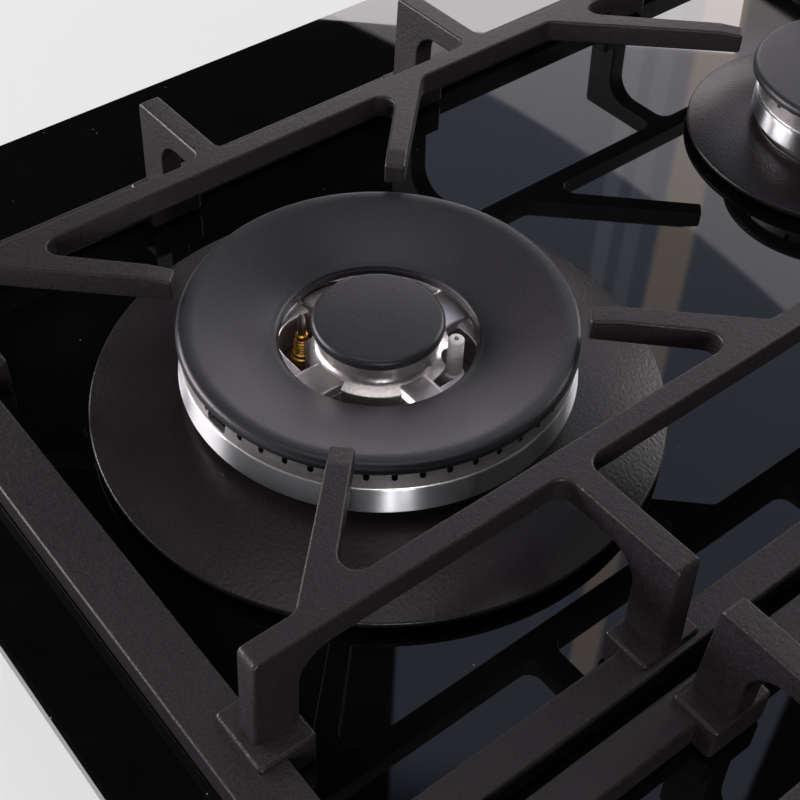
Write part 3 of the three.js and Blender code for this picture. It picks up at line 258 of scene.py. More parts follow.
GLASS = Finish(
    "black_glass", "black_glass", (0.0022, 0.0022, 0.0026), (0.003, 0.003, 0.0034),
    roughness=(0.012, 0.03), smear=60.0, specks=0.5,
)
IRON = Finish(
    "cast_iron", "cast_iron", (0.0098, 0.0074, 0.0094), (0.0190, 0.0150, 0.0185), patch=0.7,
    contrast=0.6, roughness=(0.36, 0.52), smear=0.8, specular=0.36,
    reliefs=(Relief(1.8, 0.13), Relief(0.55, 0.11, detail=3.0)),
)
CAP_ENAMEL = Finish(
    "cap_enamel", "enamel_cap", (0.0150, 0.0143, 0.0186), (0.0240, 0.0230, 0.0290), patch=0.6,
    contrast=0.5, roughness=(0.35, 0.39), smear=30.0, specks=0.25, specular=0.36,
    reliefs=(Relief(0.5, 0.06, detail=2.0),),
)
SKIRT_ENAMEL = Finish(
    "skirt_enamel", "enamelled_plate", (0.0082, 0.0064, 0.0080), (0.0112, 0.0088, 0.0108), patch=1.5,
    roughness=(0.30, 0.36), smear=22.0, specular=0.34,
    reliefs=(Relief(1.25, 0.095, detail=1.0), Relief(0.6, 0.035, detail=2.0)),
)
CAST_ALUMINIUM = Finish(
    "cast_aluminium", "cast_aluminium", (0.74, 0.70, 0.70), (0.62, 0.58, 0.58), patch=0.8,
    roughness=(0.30, 0.38), smear=1.6, metallic=0.96,
    reliefs=(Relief(0.9, 0.05, detail=1.0),),
)
POLISHED_ALUMINIUM = Finish(
    "polished_aluminium", "cast_aluminium", (0.70, 0.70, 0.73), (0.62, 0.62, 0.65), patch=12.0,
    roughness=(0.30, 0.30), metallic=1.0, anisotropy=1.0,
)
# painted shade: near-black aluminium for the gas channel and port notches, standing in for the shade inside
# the burner head
PAINTED_SHADE_ALUMINIUM = Finish(
    "burnt_aluminium", "cast_aluminium", (0.040, 0.036, 0.034), (0.022, 0.020, 0.019), patch=4.0,
    roughness=(0.50, 0.70), metallic=0.6, reliefs=(Relief(0.6, 0.06),),
)
DARK_ALUMINIUM = Finish(
    "burner_cup_aluminium", "cast_aluminium", (0.16, 0.15, 0.145), (0.09, 0.083, 0.08), patch=5.0,
    roughness=(0.42, 0.62), metallic=1.0, reliefs=(Relief(0.6, 0.05),),
)
BRASS = Finish(
    "brass", "brass", (0.86, 0.50, 0.12), (0.74, 0.40, 0.08), patch=1.6, roughness=(0.24, 0.36),
    smear=0.8, metallic=1.0, reliefs=(Relief(0.3, 0.006),),
)
PROBE_STEEL = Finish(
    "probe_steel", "brass", (0.42, 0.39, 0.35), (0.30, 0.27, 0.24), patch=1.2, roughness=(0.28, 0.38),
    smear=0.8, metallic=1.0,
)
CERAMIC = Finish(
    "ceramic", "ceramic", (0.90, 0.88, 0.88), (0.86, 0.84, 0.83), patch=3.0, roughness=(0.28, 0.38),
    reliefs=(Relief(0.5, 0.006),),
)
PLATED_STEEL = Finish(
    "plated_steel", "plated_steel", (0.50, 0.50, 0.50), (0.40, 0.40, 0.41), patch=6.0,
    roughness=(0.24, 0.38), metallic=1.0, reliefs=(Relief(0.5, 0.01),),
)
BOX_STEEL = Finish(
    "box_steel", "coated_steel", (0.30, 0.31, 0.32), (0.24, 0.25, 0.26), patch=7.0, contrast=0.6,
    roughness=(0.34, 0.46), metallic=1.0, reliefs=(Relief(0.8, 0.01),),
)
KNOB_BLACK = Finish(
    "knob_black", "knob_black", (0.014, 0.014, 0.016), (0.019, 0.019, 0.021), patch=20.0,
    roughness=(0.28, 0.36), reliefs=(Relief(0.25, 0.006),),
)
KNOB_RING = Finish(
    "knob_ring", "knob_black", (0.62, 0.62, 0.63), (0.55, 0.55, 0.56), roughness=(0.18, 0.26),
    metallic=1.0, reliefs=(Relief(0.6, 0.004, stretch=(0.05, 0.05, 8.0)),),
)
RUBBER = Finish(
    "rubber", "seal_rubber", (0.014, 0.014, 0.014), (0.020, 0.020, 0.020), patch=3.0,
    roughness=(0.62, 0.78), reliefs=(Relief(0.5, 0.03),),
)


# ---------------------------------------------------------------- mesh helpers
def filleted(corners: Sequence[Corner], steps: int = 6) -> list[Spot]:
    """Points of a closed outline whose corners are rounded.

    Args:
        corners: (x, y) or (x, y, fillet radius) or (x, y, radius, steps).
        steps: how many stretches a fillet has.

    Returns:
        The outline's points.
    """
    points: list[Spot] = []
    count = len(corners)
    for index, corner in enumerate(corners):
        here = Vector(corner[:2])
        radius = corner[2] if len(corner) > 2 else 0.0
        if radius <= 0.0:
            points.append((here.x, here.y))
            continue
        pieces = int(corner[3]) if len(corner) > 3 else steps
        back = (Vector(corners[index - 1][:2]) - here).normalized()
        ahead = (Vector(corners[(index + 1) % count][:2]) - here).normalized()
        half = math.acos(max(-1.0, min(1.0, back.dot(ahead)))) / 2
        run = radius / math.tan(half)
        centre = here + (back + ahead).normalized() * (radius / math.sin(half))
        start = here + back * run - centre
        end = here + ahead * run - centre
        sweep = math.atan2(start.x * end.y - start.y * end.x, start.dot(end))
        for step in range(pieces + 1):
            turn = sweep * step / pieces
            points.append((
                centre.x + start.x * math.cos(turn) - start.y * math.sin(turn),
                centre.y + start.x * math.sin(turn) + start.y * math.cos(turn),
            ))
    return points


def inset(corners: Sequence[Corner], distance: float) -> list[Corner]:
    """Corners of an anticlockwise outline moved inwards, each fillet kept concentric.

    Args:
        corners: corners as in filleted.
        distance: how far inwards, mm.

    Returns:
        The new corners.
    """
    moved_in: list[Corner] = []
    count = len(corners)
    for index, corner in enumerate(corners):
        here = Vector(corner[:2])
        first = (here - Vector(corners[index - 1][:2])).normalized()
        second = (Vector(corners[(index + 1) % count][:2]) - here).normalized()
        left = Vector((-first.y, first.x))
        right = Vector((-second.y, second.x))
        spot = here + (left + right) * (distance / (1.0 + left.dot(right)))
        radius = corner[2] if len(corner) > 2 else 0.0
        if radius > 0.0:
            convex = first.x * second.y - first.y * second.x > 0.0
            radius = max(radius - distance if convex else radius + distance, 0.02)
        moved_in.append((spot.x, spot.y, radius, *corner[3:]))
    return moved_in


def box_corners(width: float, length: float, radius: float) -> list[Corner]:
    """Corners of a rectangle about the origin.

    Args:
        width: size along X, mm.
        length: size along Y, mm.
        radius: corner radius, mm.

    Returns:
        The corners.
    """
    w, l = width / 2, length / 2
    return [(-w, -l, radius), (w, -l, radius), (w, l, radius), (-w, l, radius)]


@dataclass
class Solid:
    """A mesh in the making, in mm, with one finish for each group of faces."""

    verts: list[tuple[float, float, float]] = field(default_factory=list)
    faces: list[list[int]] = field(default_factory=list)
    tags: list[int] = field(default_factory=list)

    def add(self, verts: Sequence[Sequence[float]], faces: Sequence[Sequence[int]], tag: int = 0) -> "Solid":
        """Add vertices and faces.

        Args:
            verts: points in mm.
            faces: indices into verts.
            tag: index of the finish.

        Returns:
            This solid.
        """
        base = len(self.verts)
        self.verts += [tuple(v) for v in verts]
        self.faces += [[base + i for i in f] for f in faces]
        self.tags += [tag] * len(faces)
        return self

    def lathe(
        self, outline: Sequence[Spot], segments: int, at: Sequence[float] = (0.0, 0.0, 0.0), tag: int = 0
    ) -> "Solid":
        """Revolve a closed (radius, height) outline around an upright axis.

        Args:
            outline: closed outline; points on the axis have radius 0.
            segments: steps around.
            at: foot of the axis, mm.
            tag: index of the finish.

        Returns:
            This solid.
        """
        verts: list[tuple[float, float, float]] = []
        rings: list[list[int]] = []
        for radius, height in outline:
            if radius < 1e-6:
                verts.append((at[0], at[1], at[2] + height))
                rings.append([len(verts) - 1] * segments)
                continue
            first = len(verts)
            for k in range(segments):
                angle = 2 * math.pi * k / segments
                x, y = radius * math.cos(angle), radius * math.sin(angle)
                verts.append((at[0] + x, at[1] + y, at[2] + height))
            rings.append(list(range(first, first + segments)))
        faces: list[list[int]] = []
        for i, low in enumerate(rings):
            high = rings[(i + 1) % len(rings)]
            for k in range(segments):
                n = (k + 1) % segments
                face = list(dict.fromkeys((low[k], low[n], high[n], high[k])))
                if len(face) > 2:
                    faces.append(face)
        return self.add(verts, faces, tag)

    def prism(
        self, outline: Sequence[Spot], low: float, high: float, place: Matrix | None = None, tag: int = 0
    ) -> "Solid":
        """Straight prism over an outline, from low to high along its own Z.

        Args:
            outline: closed outline.
            low: height of the underside, mm.
            high: height of the top, mm.
            place: where it goes, in mm.
            tag: index of the finish.

        Returns:
            This solid.
        """
        count = len(outline)
        verts = [(x, y, low) for x, y in outline] + [(x, y, high) for x, y in outline]
        faces: list[list[int]] = [list(range(count))[::-1], list(range(count, 2 * count))]
        faces += [[i, (i + 1) % count, (i + 1) % count + count, i + count] for i in range(count)]
        if place is not None:
            verts = [tuple(place @ Vector(v)) for v in verts]
        return self.add(verts, faces, tag)

    def slab(
        self,
        corners: Sequence[Corner],
        low: float,
        high: float,
        rounding: float,
        place: Matrix | None = None,
        steps: int = 6,
        arc: int = 3,
        tag: int = 0,
        hole: Sequence[Corner] | None = None,
        draft: float = 0.0,
    ) -> "Solid":
        """Prism whose upper and lower edges are rounded, with a hole where one is given.

        Args:
            corners: anticlockwise corners as in filleted.
            low: height of the underside, mm.
            high: height of the top, mm.
            rounding: radius of the edges, mm.
            place: where it goes, in mm.
            steps: stretches of a fillet.
            arc: stretches of an edge rounding.
            tag: index of the finish.
            hole: anticlockwise corners of the hole, as many as the outline has.
            draft: how much the foot stands out past the top, mm.

        Returns:
            This solid.
        """
        levels: list[tuple[float, float]] = []
        for step in range(arc + 1):
            turn = math.pi / 2 * step / arc
            out, up = 1.0 - math.sin(turn), 1.0 - math.cos(turn)
            levels.append((rounding * out - draft, low + rounding * up))
        for step in range(arc + 1):
            turn = math.pi / 2 * step / arc
            levels.append((rounding * (1.0 - math.cos(turn)), high - rounding * (1.0 - math.sin(turn))))
        rings = [[(x, y, z) for x, y in filleted(inset(corners, d), steps)] for d, z in levels]
        if hole is not None:
            rings += [[(x, y, z) for x, y in filleted(inset(hole, -d), steps)] for d, z in reversed(levels)]
        count = len(rings[0])
        verts = [v for ring in rings for v in ring]
        faces: list[list[int]] = []
        last = len(rings) if hole is not None else len(rings) - 1
        for i in range(last):
            a, b = i * count, (i + 1) % len(rings) * count
            faces += [[a + k, a + (k + 1) % count, b + (k + 1) % count, b + k] for k in range(count)]
        if hole is None:
            top = (len(rings) - 1) * count
            faces += [list(range(count))[::-1], list(range(top, top + count))]
        if place is not None:
            verts = [tuple(place @ Vector(v)) for v in verts]
        return self.add(verts, faces, tag)

    def object(self, name: str, finishes: Sequence[Finish], crease: float = 32.0) -> bpy.types.Object:
        """The mesh object, in metres, with its normals outwards.

        Args:
            name: name of the piece.
            finishes: one finish for each tag.
            crease: edges sharper than this many degrees stay sharp.

        Returns:
            The new object.
        """
        mesh = bpy.data.meshes.new(name)
        mesh.from_pydata([tuple(c * MM for c in v) for v in self.verts], [], self.faces)
        for finish in finishes:
            mesh.materials.append(finish.material())
        mesh.polygons.foreach_set("material_index", self.tags)
        work = bmesh.new()
        work.from_mesh(mesh)
        bmesh.ops.remove_doubles(work, verts=work.verts, dist=1e-7)
        bmesh.ops.recalc_face_normals(work, faces=work.faces)
        work.to_mesh(mesh)
        work.free()
        made = bpy.data.objects.new(name, mesh)
        bpy.context.scene.collection.objects.link(made)
        soften(made, crease)
        return made


def soften(piece: bpy.types.Object, crease: float = 32.0) -> None:
    """Shade a piece smooth and keep its sharper edges.

    Args:
        piece: the mesh object.
        crease: edges sharper than this many degrees stay sharp.
    """
    mesh = piece.data
    mesh.polygons.foreach_set("use_smooth", [True] * len(mesh.polygons))
    mesh.set_sharp_from_angle(angle=math.radians(crease))


def evaluated(piece: bpy.types.Object) -> bpy.types.Object:
    """Turn a piece with modifiers into a plain mesh and drop the modifiers.

    Args:
        piece: the mesh object.

    Returns:
        The same object.
    """
    depsgraph = bpy.context.evaluated_depsgraph_get()
    fresh = bpy.data.meshes.new_from_object(piece.evaluated_get(depsgraph))
    old = piece.data
    piece.modifiers.clear()
    piece.data = fresh
    fresh.name = piece.name
    bpy.data.meshes.remove(old)
    return piece


class Join(Enum):
    """Ways in which one solid changes another."""

    ADD = "UNION"
    CUT = "DIFFERENCE"


def combined(base: bpy.types.Object, other: bpy.types.Object, how: Join) -> bpy.types.Object:
    """Join or cut a piece with another, which is then removed.

    Args:
        base: the piece that stays.
        other: the piece that is joined or cut away.
        how: joined or cut away.

    Returns:
        The base.
    """
    modifier = base.modifiers.new("combine", "BOOLEAN")
    modifier.operation = how.value
    modifier.solver = "MANIFOLD"
    modifier.object = other
    evaluated(base)
    discard(other)
    return base


def discard(piece: bpy.types.Object) -> None:
    """Remove a helper object with its mesh.

    Args:
        piece: the object.
    """
    mesh = piece.data
    bpy.data.objects.remove(piece, do_unlink=True)
    bpy.data.meshes.remove(mesh)


class Repeater:
    """Geometry Nodes tree that repeats a piece around an upright axis or in a row."""

    def __init__(self) -> None:
        """Build the tree with its named inputs."""
        tree = bpy.data.node_groups.new("repeat_piece", "GeometryNodeTree")
        face = tree.interface
        face.new_socket("Geometry", in_out="INPUT", socket_type="NodeSocketGeometry")
        for name, kind in (
            ("Count", "NodeSocketInt"),
            ("Step", "NodeSocketVector"),
            ("Turn", "NodeSocketFloat"),
            ("Merge Distance", "NodeSocketFloat"),
            ("Material", "NodeSocketMaterial"),
        ):
            face.new_socket(name, in_out="INPUT", socket_type=kind)
        face.new_socket("Geometry", in_out="OUTPUT", socket_type="NodeSocketGeometry")
        nodes = tree.nodes
        link = tree.links.new
        given = nodes.new("NodeGroupInput")
        result = nodes.new("NodeGroupOutput")
        points = nodes.new("GeometryNodePoints")
        index = nodes.new("GeometryNodeInputIndex")
        shift = nodes.new("ShaderNodeVectorMath")
        shift.operation = "SCALE"
        turn = nodes.new("ShaderNodeMath")
        turn.operation = "MULTIPLY"
        euler = nodes.new("ShaderNodeCombineXYZ")
        spread = nodes.new("GeometryNodeSetPosition")
        copies = nodes.new("GeometryNodeInstanceOnPoints")
        solid = nodes.new("GeometryNodeRealizeInstances")
        merge = nodes.new("GeometryNodeMergeByDistance")
        dress = nodes.new("GeometryNodeSetMaterial")
        link(given.outputs["Count"], points.inputs["Count"])
        link(given.outputs["Step"], shift.inputs[0])
        link(index.outputs[0], shift.inputs["Scale"])
        link(index.outputs[0], turn.inputs[0])
        link(given.outputs["Turn"], turn.inputs[1])
        link(turn.outputs[0], euler.inputs["Z"])
        link(points.outputs[0], spread.inputs["Geometry"])
        link(shift.outputs[0], spread.inputs["Position"])
        link(spread.outputs[0], copies.inputs["Points"])
        link(given.outputs["Geometry"], copies.inputs["Instance"])
        link(euler.outputs[0], copies.inputs["Rotation"])
        link(copies.outputs[0], solid.inputs[0])
        link(solid.outputs[0], merge.inputs["Geometry"])
        link(given.outputs["Merge Distance"], merge.inputs["Distance"])
        link(merge.outputs[0], dress.inputs["Geometry"])
        link(given.outputs["Material"], dress.inputs["Material"])
        link(dress.outputs[0], result.inputs[0])
        self.tree = tree
        self.ids = {item.name: item.identifier for item in face.items_tree if item.in_out == "INPUT"}

    def apply(
        self,
        piece: bpy.types.Object,
        count: int,
        finish: Finish,
        step: Sequence[float] = (0.0, 0.0, 0.0),
        turn: float = 0.0,
        merge: float = 0.0,
    ) -> bpy.types.Object:
        """Repeat a piece and turn the result into a plain mesh.

        Args:
            piece: the unit, about the origin.
            count: how many copies in all.
            finish: finish of the copies.
            step: move from one copy to the next, mm.
            turn: turn about Z from one copy to the next, degrees.
            merge: vertices closer than this are merged, mm.

        Returns:
            The same object.
        """
        modifier = piece.modifiers.new("repeat", "NODES")
        modifier.node_group = self.tree
        modifier[self.ids["Count"]] = count
        modifier[self.ids["Step"]] = tuple(s * MM for s in step)
        modifier[self.ids["Turn"]] = math.radians(turn)
        modifier[self.ids["Merge Distance"]] = merge * MM
        modifier[self.ids["Material"]] = finish.material()
        return evaluated(piece)


REPEAT = Repeater()


def moved(piece: bpy.types.Object, at: Sequence[float], turn: float = 0.0) -> bpy.types.Object:
    """Move a piece's mesh, so that its object stays at the origin.

    Args:
        piece: the mesh object.
        at: shift in mm.
        turn: turn about Z first, degrees.

    Returns:
        The same object.
    """
    place = Matrix.Translation(Vector(at) * MM) @ Matrix.Rotation(math.radians(turn), 4, "Z")
    piece.data.transform(place)
    return piece


def seated(
    piece: bpy.types.Object, body: str, slot: str, *nodes: str
) -> bpy.types.Object:
    """Hand a finished piece to the frame.

    Args:
        piece: the mesh object.
        body: the body that it rides on.
        slot: the record's material slot; not used.
        nodes: CAD nodes that it stands for.

    Returns:
        The same object.
    """
    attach(piece, body)
    if nodes:
        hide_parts(*nodes)
    LOG.info("%s rides on %s, %d faces", piece.name, body, len(piece.data.polygons))
    return piece


def dress_node(node: str, finish: Finish) -> None:
    """Give a CAD node that stays its finish.

    Args:
        node: name of the node.
        finish: its finish.
    """
    mesh_object = frame["nodes"][node]
    mesh_object.data.materials.clear()
    mesh_object.data.materials.append(finish.material())


def even_normals(piece: bpy.types.Object, crease: float = 50.0) -> None:
    """Keep broad faces flat in the shading while the roundings between them stay smooth.

    Args:
        piece: the mesh object.
        crease: edges sharper than this many degrees stay sharp.
    """
    soften(piece, crease)
    modifier = piece.modifiers.new("normals", "WEIGHTED_NORMAL")
    modifier.keep_sharp = True
    evaluated(piece)


# ---------------------------------------------------------------- pan supports
@dataclass
class PanSupport:
    """Cast pan support: two combs of bars and fingers, arms on posts and a low frame.

    Heights are counted from the top of the glass, and the origin is the support's middle.
    """

    side: str
    front_tip: float
    rear_tip: float
    pitch: float = 246.0
    bar_width: float = 7.8
    bar_depth: float = 9.0
    bar_offset: float = 88.3
    bar_end: float = 108.4
    arm_width: float = 8.4
    arm_reach: float = 135.0
    finger_width: float = 8.4
    finger_tip_width: float = 7.2
    fall_length: float = 9.0
    fall_drop: float = 1.3
    grid_fillet: float = 5.0
    tip_round: float = 2.0
    tip_edge: float = 1.1
    edge: float = 0.9
    rail_height: float = 10.7
    side_rail: float = 11.5
    end_rail: float = 18.0
    frame_corner: float = 9.0
    post_depth: float = 14.0
    post_draft: float = 1.6
    post_fillet: float = 11.0
    boss_side: float = 7.0
    boss_rise: float = 2.0
    boss_inset: float = 2.0

    def __post_init__(self) -> None:
        """Read the support's place and overall size from its CAD node."""
        low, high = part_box(f"support_{self.side}")
        self.at = ((low.x + high.x) / 2 / MM, (low.y + high.y) / 2 / MM, 0.0)
        self.half_width = (high.x - low.x) / 2 / MM
        self.half_length = (high.y - low.y) / 2 / MM
        self.base = low.z / MM
        self.top = high.z / MM
        front, rear = ("wok", "rapid") if self.side == "left" else ("auxiliary", "semi_rapid")
        burners = [middle(f"{name}_skirt") for name in (front, rear)]
        self.offset = (self.at[0] - burners[0][0], self.at[1] - (burners[0][1] + burners[1][1]) / 2)

    def _reach(self, tip: float, side_x: float, side_y: float) -> float:
        """How far from the support's crossing point a finger ends."""
        return tip - math.sqrt(0.5) * (side_x * self.offset[0] + side_y * self.offset[1])

    def _comb(self, sign: float) -> list[Corner]:
        """Outline of one long bar with its fingers inwards and its arm stubs outwards."""
        half = self.pitch / 2
        inner = self.bar_offset - self.bar_width / 2
        outer = self.bar_offset + self.bar_width / 2
        end = half + self.bar_end
        arm = self.arm_width / 2
        stub = outer + 13.0
        corners: list[Corner] = [(outer, -end + 2.5, self.tip_round)]
        for y in (-half, 0.0, half):
            corners += [
                (outer, y - arm, self.grid_fillet),
                (stub, y - arm + 0.15, 0.5),
                (stub, y + arm - 0.15, 0.5),
                (outer, y + arm, self.grid_fillet),
            ]
        corners += [(outer, end - 2.5, self.tip_round), (inner, end - 2.5, self.tip_round)]
        s = math.sqrt(0.5)
        h = self.finger_width / 2
        tip_half = self.finger_tip_width / 2
        for centre, tip in ((half, self.rear_tip), (-half, self.front_tip)):
            for side in (1.0, -1.0):
                reach = self._reach(tip, sign, sign * side)

                def near(across: float) -> Corner:
                    return (reach * s + across * s, centre + side * (reach * s - across * s), self.tip_edge)

                low_root = (inner, centre + side * (inner - 2 * h * s), self.grid_fillet)
                high_root = (inner, centre + side * (inner + 2 * h * s), self.grid_fillet)
                run = [high_root, near(-tip_half), near(tip_half), low_root]
                corners += run if side > 0 else run[::-1]
        corners.append((inner, -end + 2.5, self.tip_round))
        return corners

    def _arm(self, tip: float, start: float) -> list[Corner]:
        """Side view of an arm or bar end with its post, pointing to +X."""
        under = self.top - self.bar_depth - GLASS_TOP
        top = self.top - GLASS_TOP - 0.02
        rail = self.base - GLASS_TOP + self.rail_height
        return [
            (start, under + 0.03),
            (tip - self.post_depth, under + 0.03, self.post_fillet),
            (tip - self.post_depth + self.post_draft / 2, rail - 3.0),
            (tip + self.post_draft, rail - 3.0),
            (tip, top, self.tip_round),
            (start, top),
        ]

    def _upright(self, x: float, y: float, degrees: float, width: float) -> Matrix:
        """Place of a side view that is extruded across an arm."""
        turn = Matrix.Rotation(math.radians(degrees), 4, "Z") @ Matrix.Rotation(math.radians(90), 4, "X")
        return Matrix.Translation((x, y, GLASS_TOP)) @ turn @ Matrix.Translation((0.0, 0.0, -width / 2))

    def build(self) -> bpy.types.Object:
        """Build the support as one joined casting.

        Returns:
            The piece.
        """
        half = self.pitch / 2
        low = self.base
        rail_top = low + self.rail_height
        width, length = 2 * self.half_width, 2 * self.half_length
        parts: list[Solid] = [
            Solid().slab(
                box_corners(width, length, self.frame_corner), low, rail_top, self.edge,
                hole=box_corners(
                    width - 2 * self.side_rail, length - 2 * self.end_rail, self.frame_corner / 2
                ),
            )
        ]
        for flip in (0.0, 180.0):
            turn = Matrix.Rotation(math.radians(flip), 4, "Z")
            front, rear = self.front_tip, self.rear_tip
            if flip:
                self.front_tip, self.rear_tip = rear, front
            parts.append(
                Solid().slab(
                    self._comb(-1.0 if flip else 1.0), self.top - self.bar_depth, self.top,
                    self.edge, turn, arc=3,
                )
            )
            self.front_tip, self.rear_tip = front, rear
        arm = self.arm_width - 0.04
        boss_half = self.arm_width / 2 + self.boss_side
        for y in (-half, 0.0, half):
            for flip, sign in ((0.0, 1), (180.0, -1)):
                place = self._upright(0.0, y, flip, arm)
                parts.append(Solid().slab(
                    self._arm(self.arm_reach, self.bar_offset), 0.0, arm, self.edge, place, steps=10
                ))
                inner, outer = self.arm_reach - self.post_depth, self.half_width - self.boss_inset
                middle_x = sign * (inner + outer) / 2
                parts.append(Solid().slab(
                    box_corners(outer - inner, 2 * boss_half, 1.6), low + 0.03, rail_top + self.boss_rise,
                    1.2, Matrix.Translation((middle_x, y, 0.0)), steps=3,
                ))
        bar = self.bar_width - 0.04
        for side in (-1, 1):
            for row in (-1, 1):
                place = self._upright(side * self.bar_offset, row * half, row * 90.0, bar)
                parts.append(Solid().slab(
                    self._arm(self.bar_end, self.bar_end - 60.0), 0.0, bar, self.edge, place, steps=10
                ))
                inner, outer = self.bar_end - self.post_depth, self.half_length - half - self.end_rail / 2
                spot = Vector((side * self.bar_offset, row * (half + (inner + outer) / 2), 0.0))
                parts.append(Solid().slab(
                    box_corners(self.bar_width + 2 * self.boss_side, outer - inner, 1.6), low + 0.03,
                    rail_top + self.boss_rise, 1.2, Matrix.Translation(spot), steps=3,
                ))
        whole = parts[0].object(f"support_{self.side}_casting", (IRON,))
        for index, part in enumerate(parts[1:]):
            combined(whole, part.object(f"part_{index}", (IRON,)), Join.ADD)
        self._lower_tips(whole)
        even_normals(whole)
        return moved(whole, self.at)

    def _lower_tips(self, piece: bpy.types.Object) -> None:
        """Let the top of each finger fall away towards its tip."""
        work = bmesh.new()
        work.from_mesh(piece.data)
        half = self.pitch / 2
        floor = (self.top - self.bar_depth - 1.0) * MM
        for y, reach in ((-half, self.front_tip), (half, self.rear_tip)):
            for angle in (45.0, 135.0, 225.0, 315.0):
                out = Vector((math.cos(math.radians(angle)), math.sin(math.radians(angle)), 0.0))
                centre = Vector((0.0, y * MM, 0.0))
                tip = self._reach(reach, math.copysign(1.0, out.x), math.copysign(1.0, out.y))
                for share in (1.0, 0.75, 0.5, 0.25):
                    near = [
                        f for f in work.faces
                        if min(v.co.z for v in f.verts) > floor
                        and min((v.co - centre).dot(out) for v in f.verts) < (tip + self.fall_length) * MM
                    ]
                    edges = {e for f in near for e in f.edges}
                    verts = {v for f in near for v in f.verts}
                    bmesh.ops.bisect_plane(
                        work, geom=[*verts, *edges, *near], dist=1e-6,
                        plane_co=centre + out * (tip + share * self.fall_length) * MM, plane_no=out,
                    )
                across = Vector((-out.y, out.x, 0.0))
                for vert in work.verts:
                    spot = vert.co - centre
                    along = spot.dot(out) / MM - tip
                    aside = abs(spot.dot(across)) / MM
                    if -3.0 < along < self.fall_length and aside < self.finger_width / 2 + 0.2:
                        if vert.co.z > (self.top - 2.0) * MM:
                            share = 1.0 - max(along, 0.0) / self.fall_length
                            vert.co.z -= self.fall_drop * share * MM
        work.to_mesh(piece.data)
        work.free()

    def dress(self) -> bpy.types.Object:
        """Build the support and hand it to the frame.

        Returns:
            The piece.
        """
        return seated(self.build(), f"pan_support_{self.side}", "cast_iron", f"support_{self.side}")


# ---------------------------------------------------------------- burners
def slotted(
    body: bpy.types.Object, count: int, half: float, heights: Spot, reach: Spot, offset: bool = True
) -> None:
    """Cut a ring of upright slots with a round foot into a casting.

    Args:
        body: the casting, about the origin.
        count: how many slots.
        half: half a slot's width, mm.
        heights: foot and open end of a slot, mm.
        reach: inner and outer end of a slot from the axis, mm.
        offset: whether the first slot stands half a step round.
    """
    low, top = heights
    shape: list[Corner] = [(-half, low, half * 0.95), (half, low, half * 0.95), (half, top), (-half, top)]
    slots = Solid().prism(filleted(shape, 4), *reach, LYING).object("slots", (CAST_ALUMINIUM,))
    REPEAT.apply(slots, count, CAST_ALUMINIUM, turn=360.0 / count)
    if offset:
        slots.data.transform(Matrix.Rotation(math.pi / count, 4, "Z"))
    combined(body, slots, Join.CUT)


def cap_outline(radius: float, low: float, high: float, edge: float) -> list[Spot]:
    """Closed outline of a round cap with a rounded rim.

    Args:
        radius: outer radius, mm.
        low: height of the underside, mm.
        high: height of the top, mm.
        edge: rounding of the upper edge, mm.

    Returns:
        The outline.
    """
    return filleted([
        (0.0, low),
        (radius - 0.9, low, 0.5),
        (radius, low + 1.2, 0.8),
        (radius, high, edge, 8),
        (0.0, high),
    ], 4)


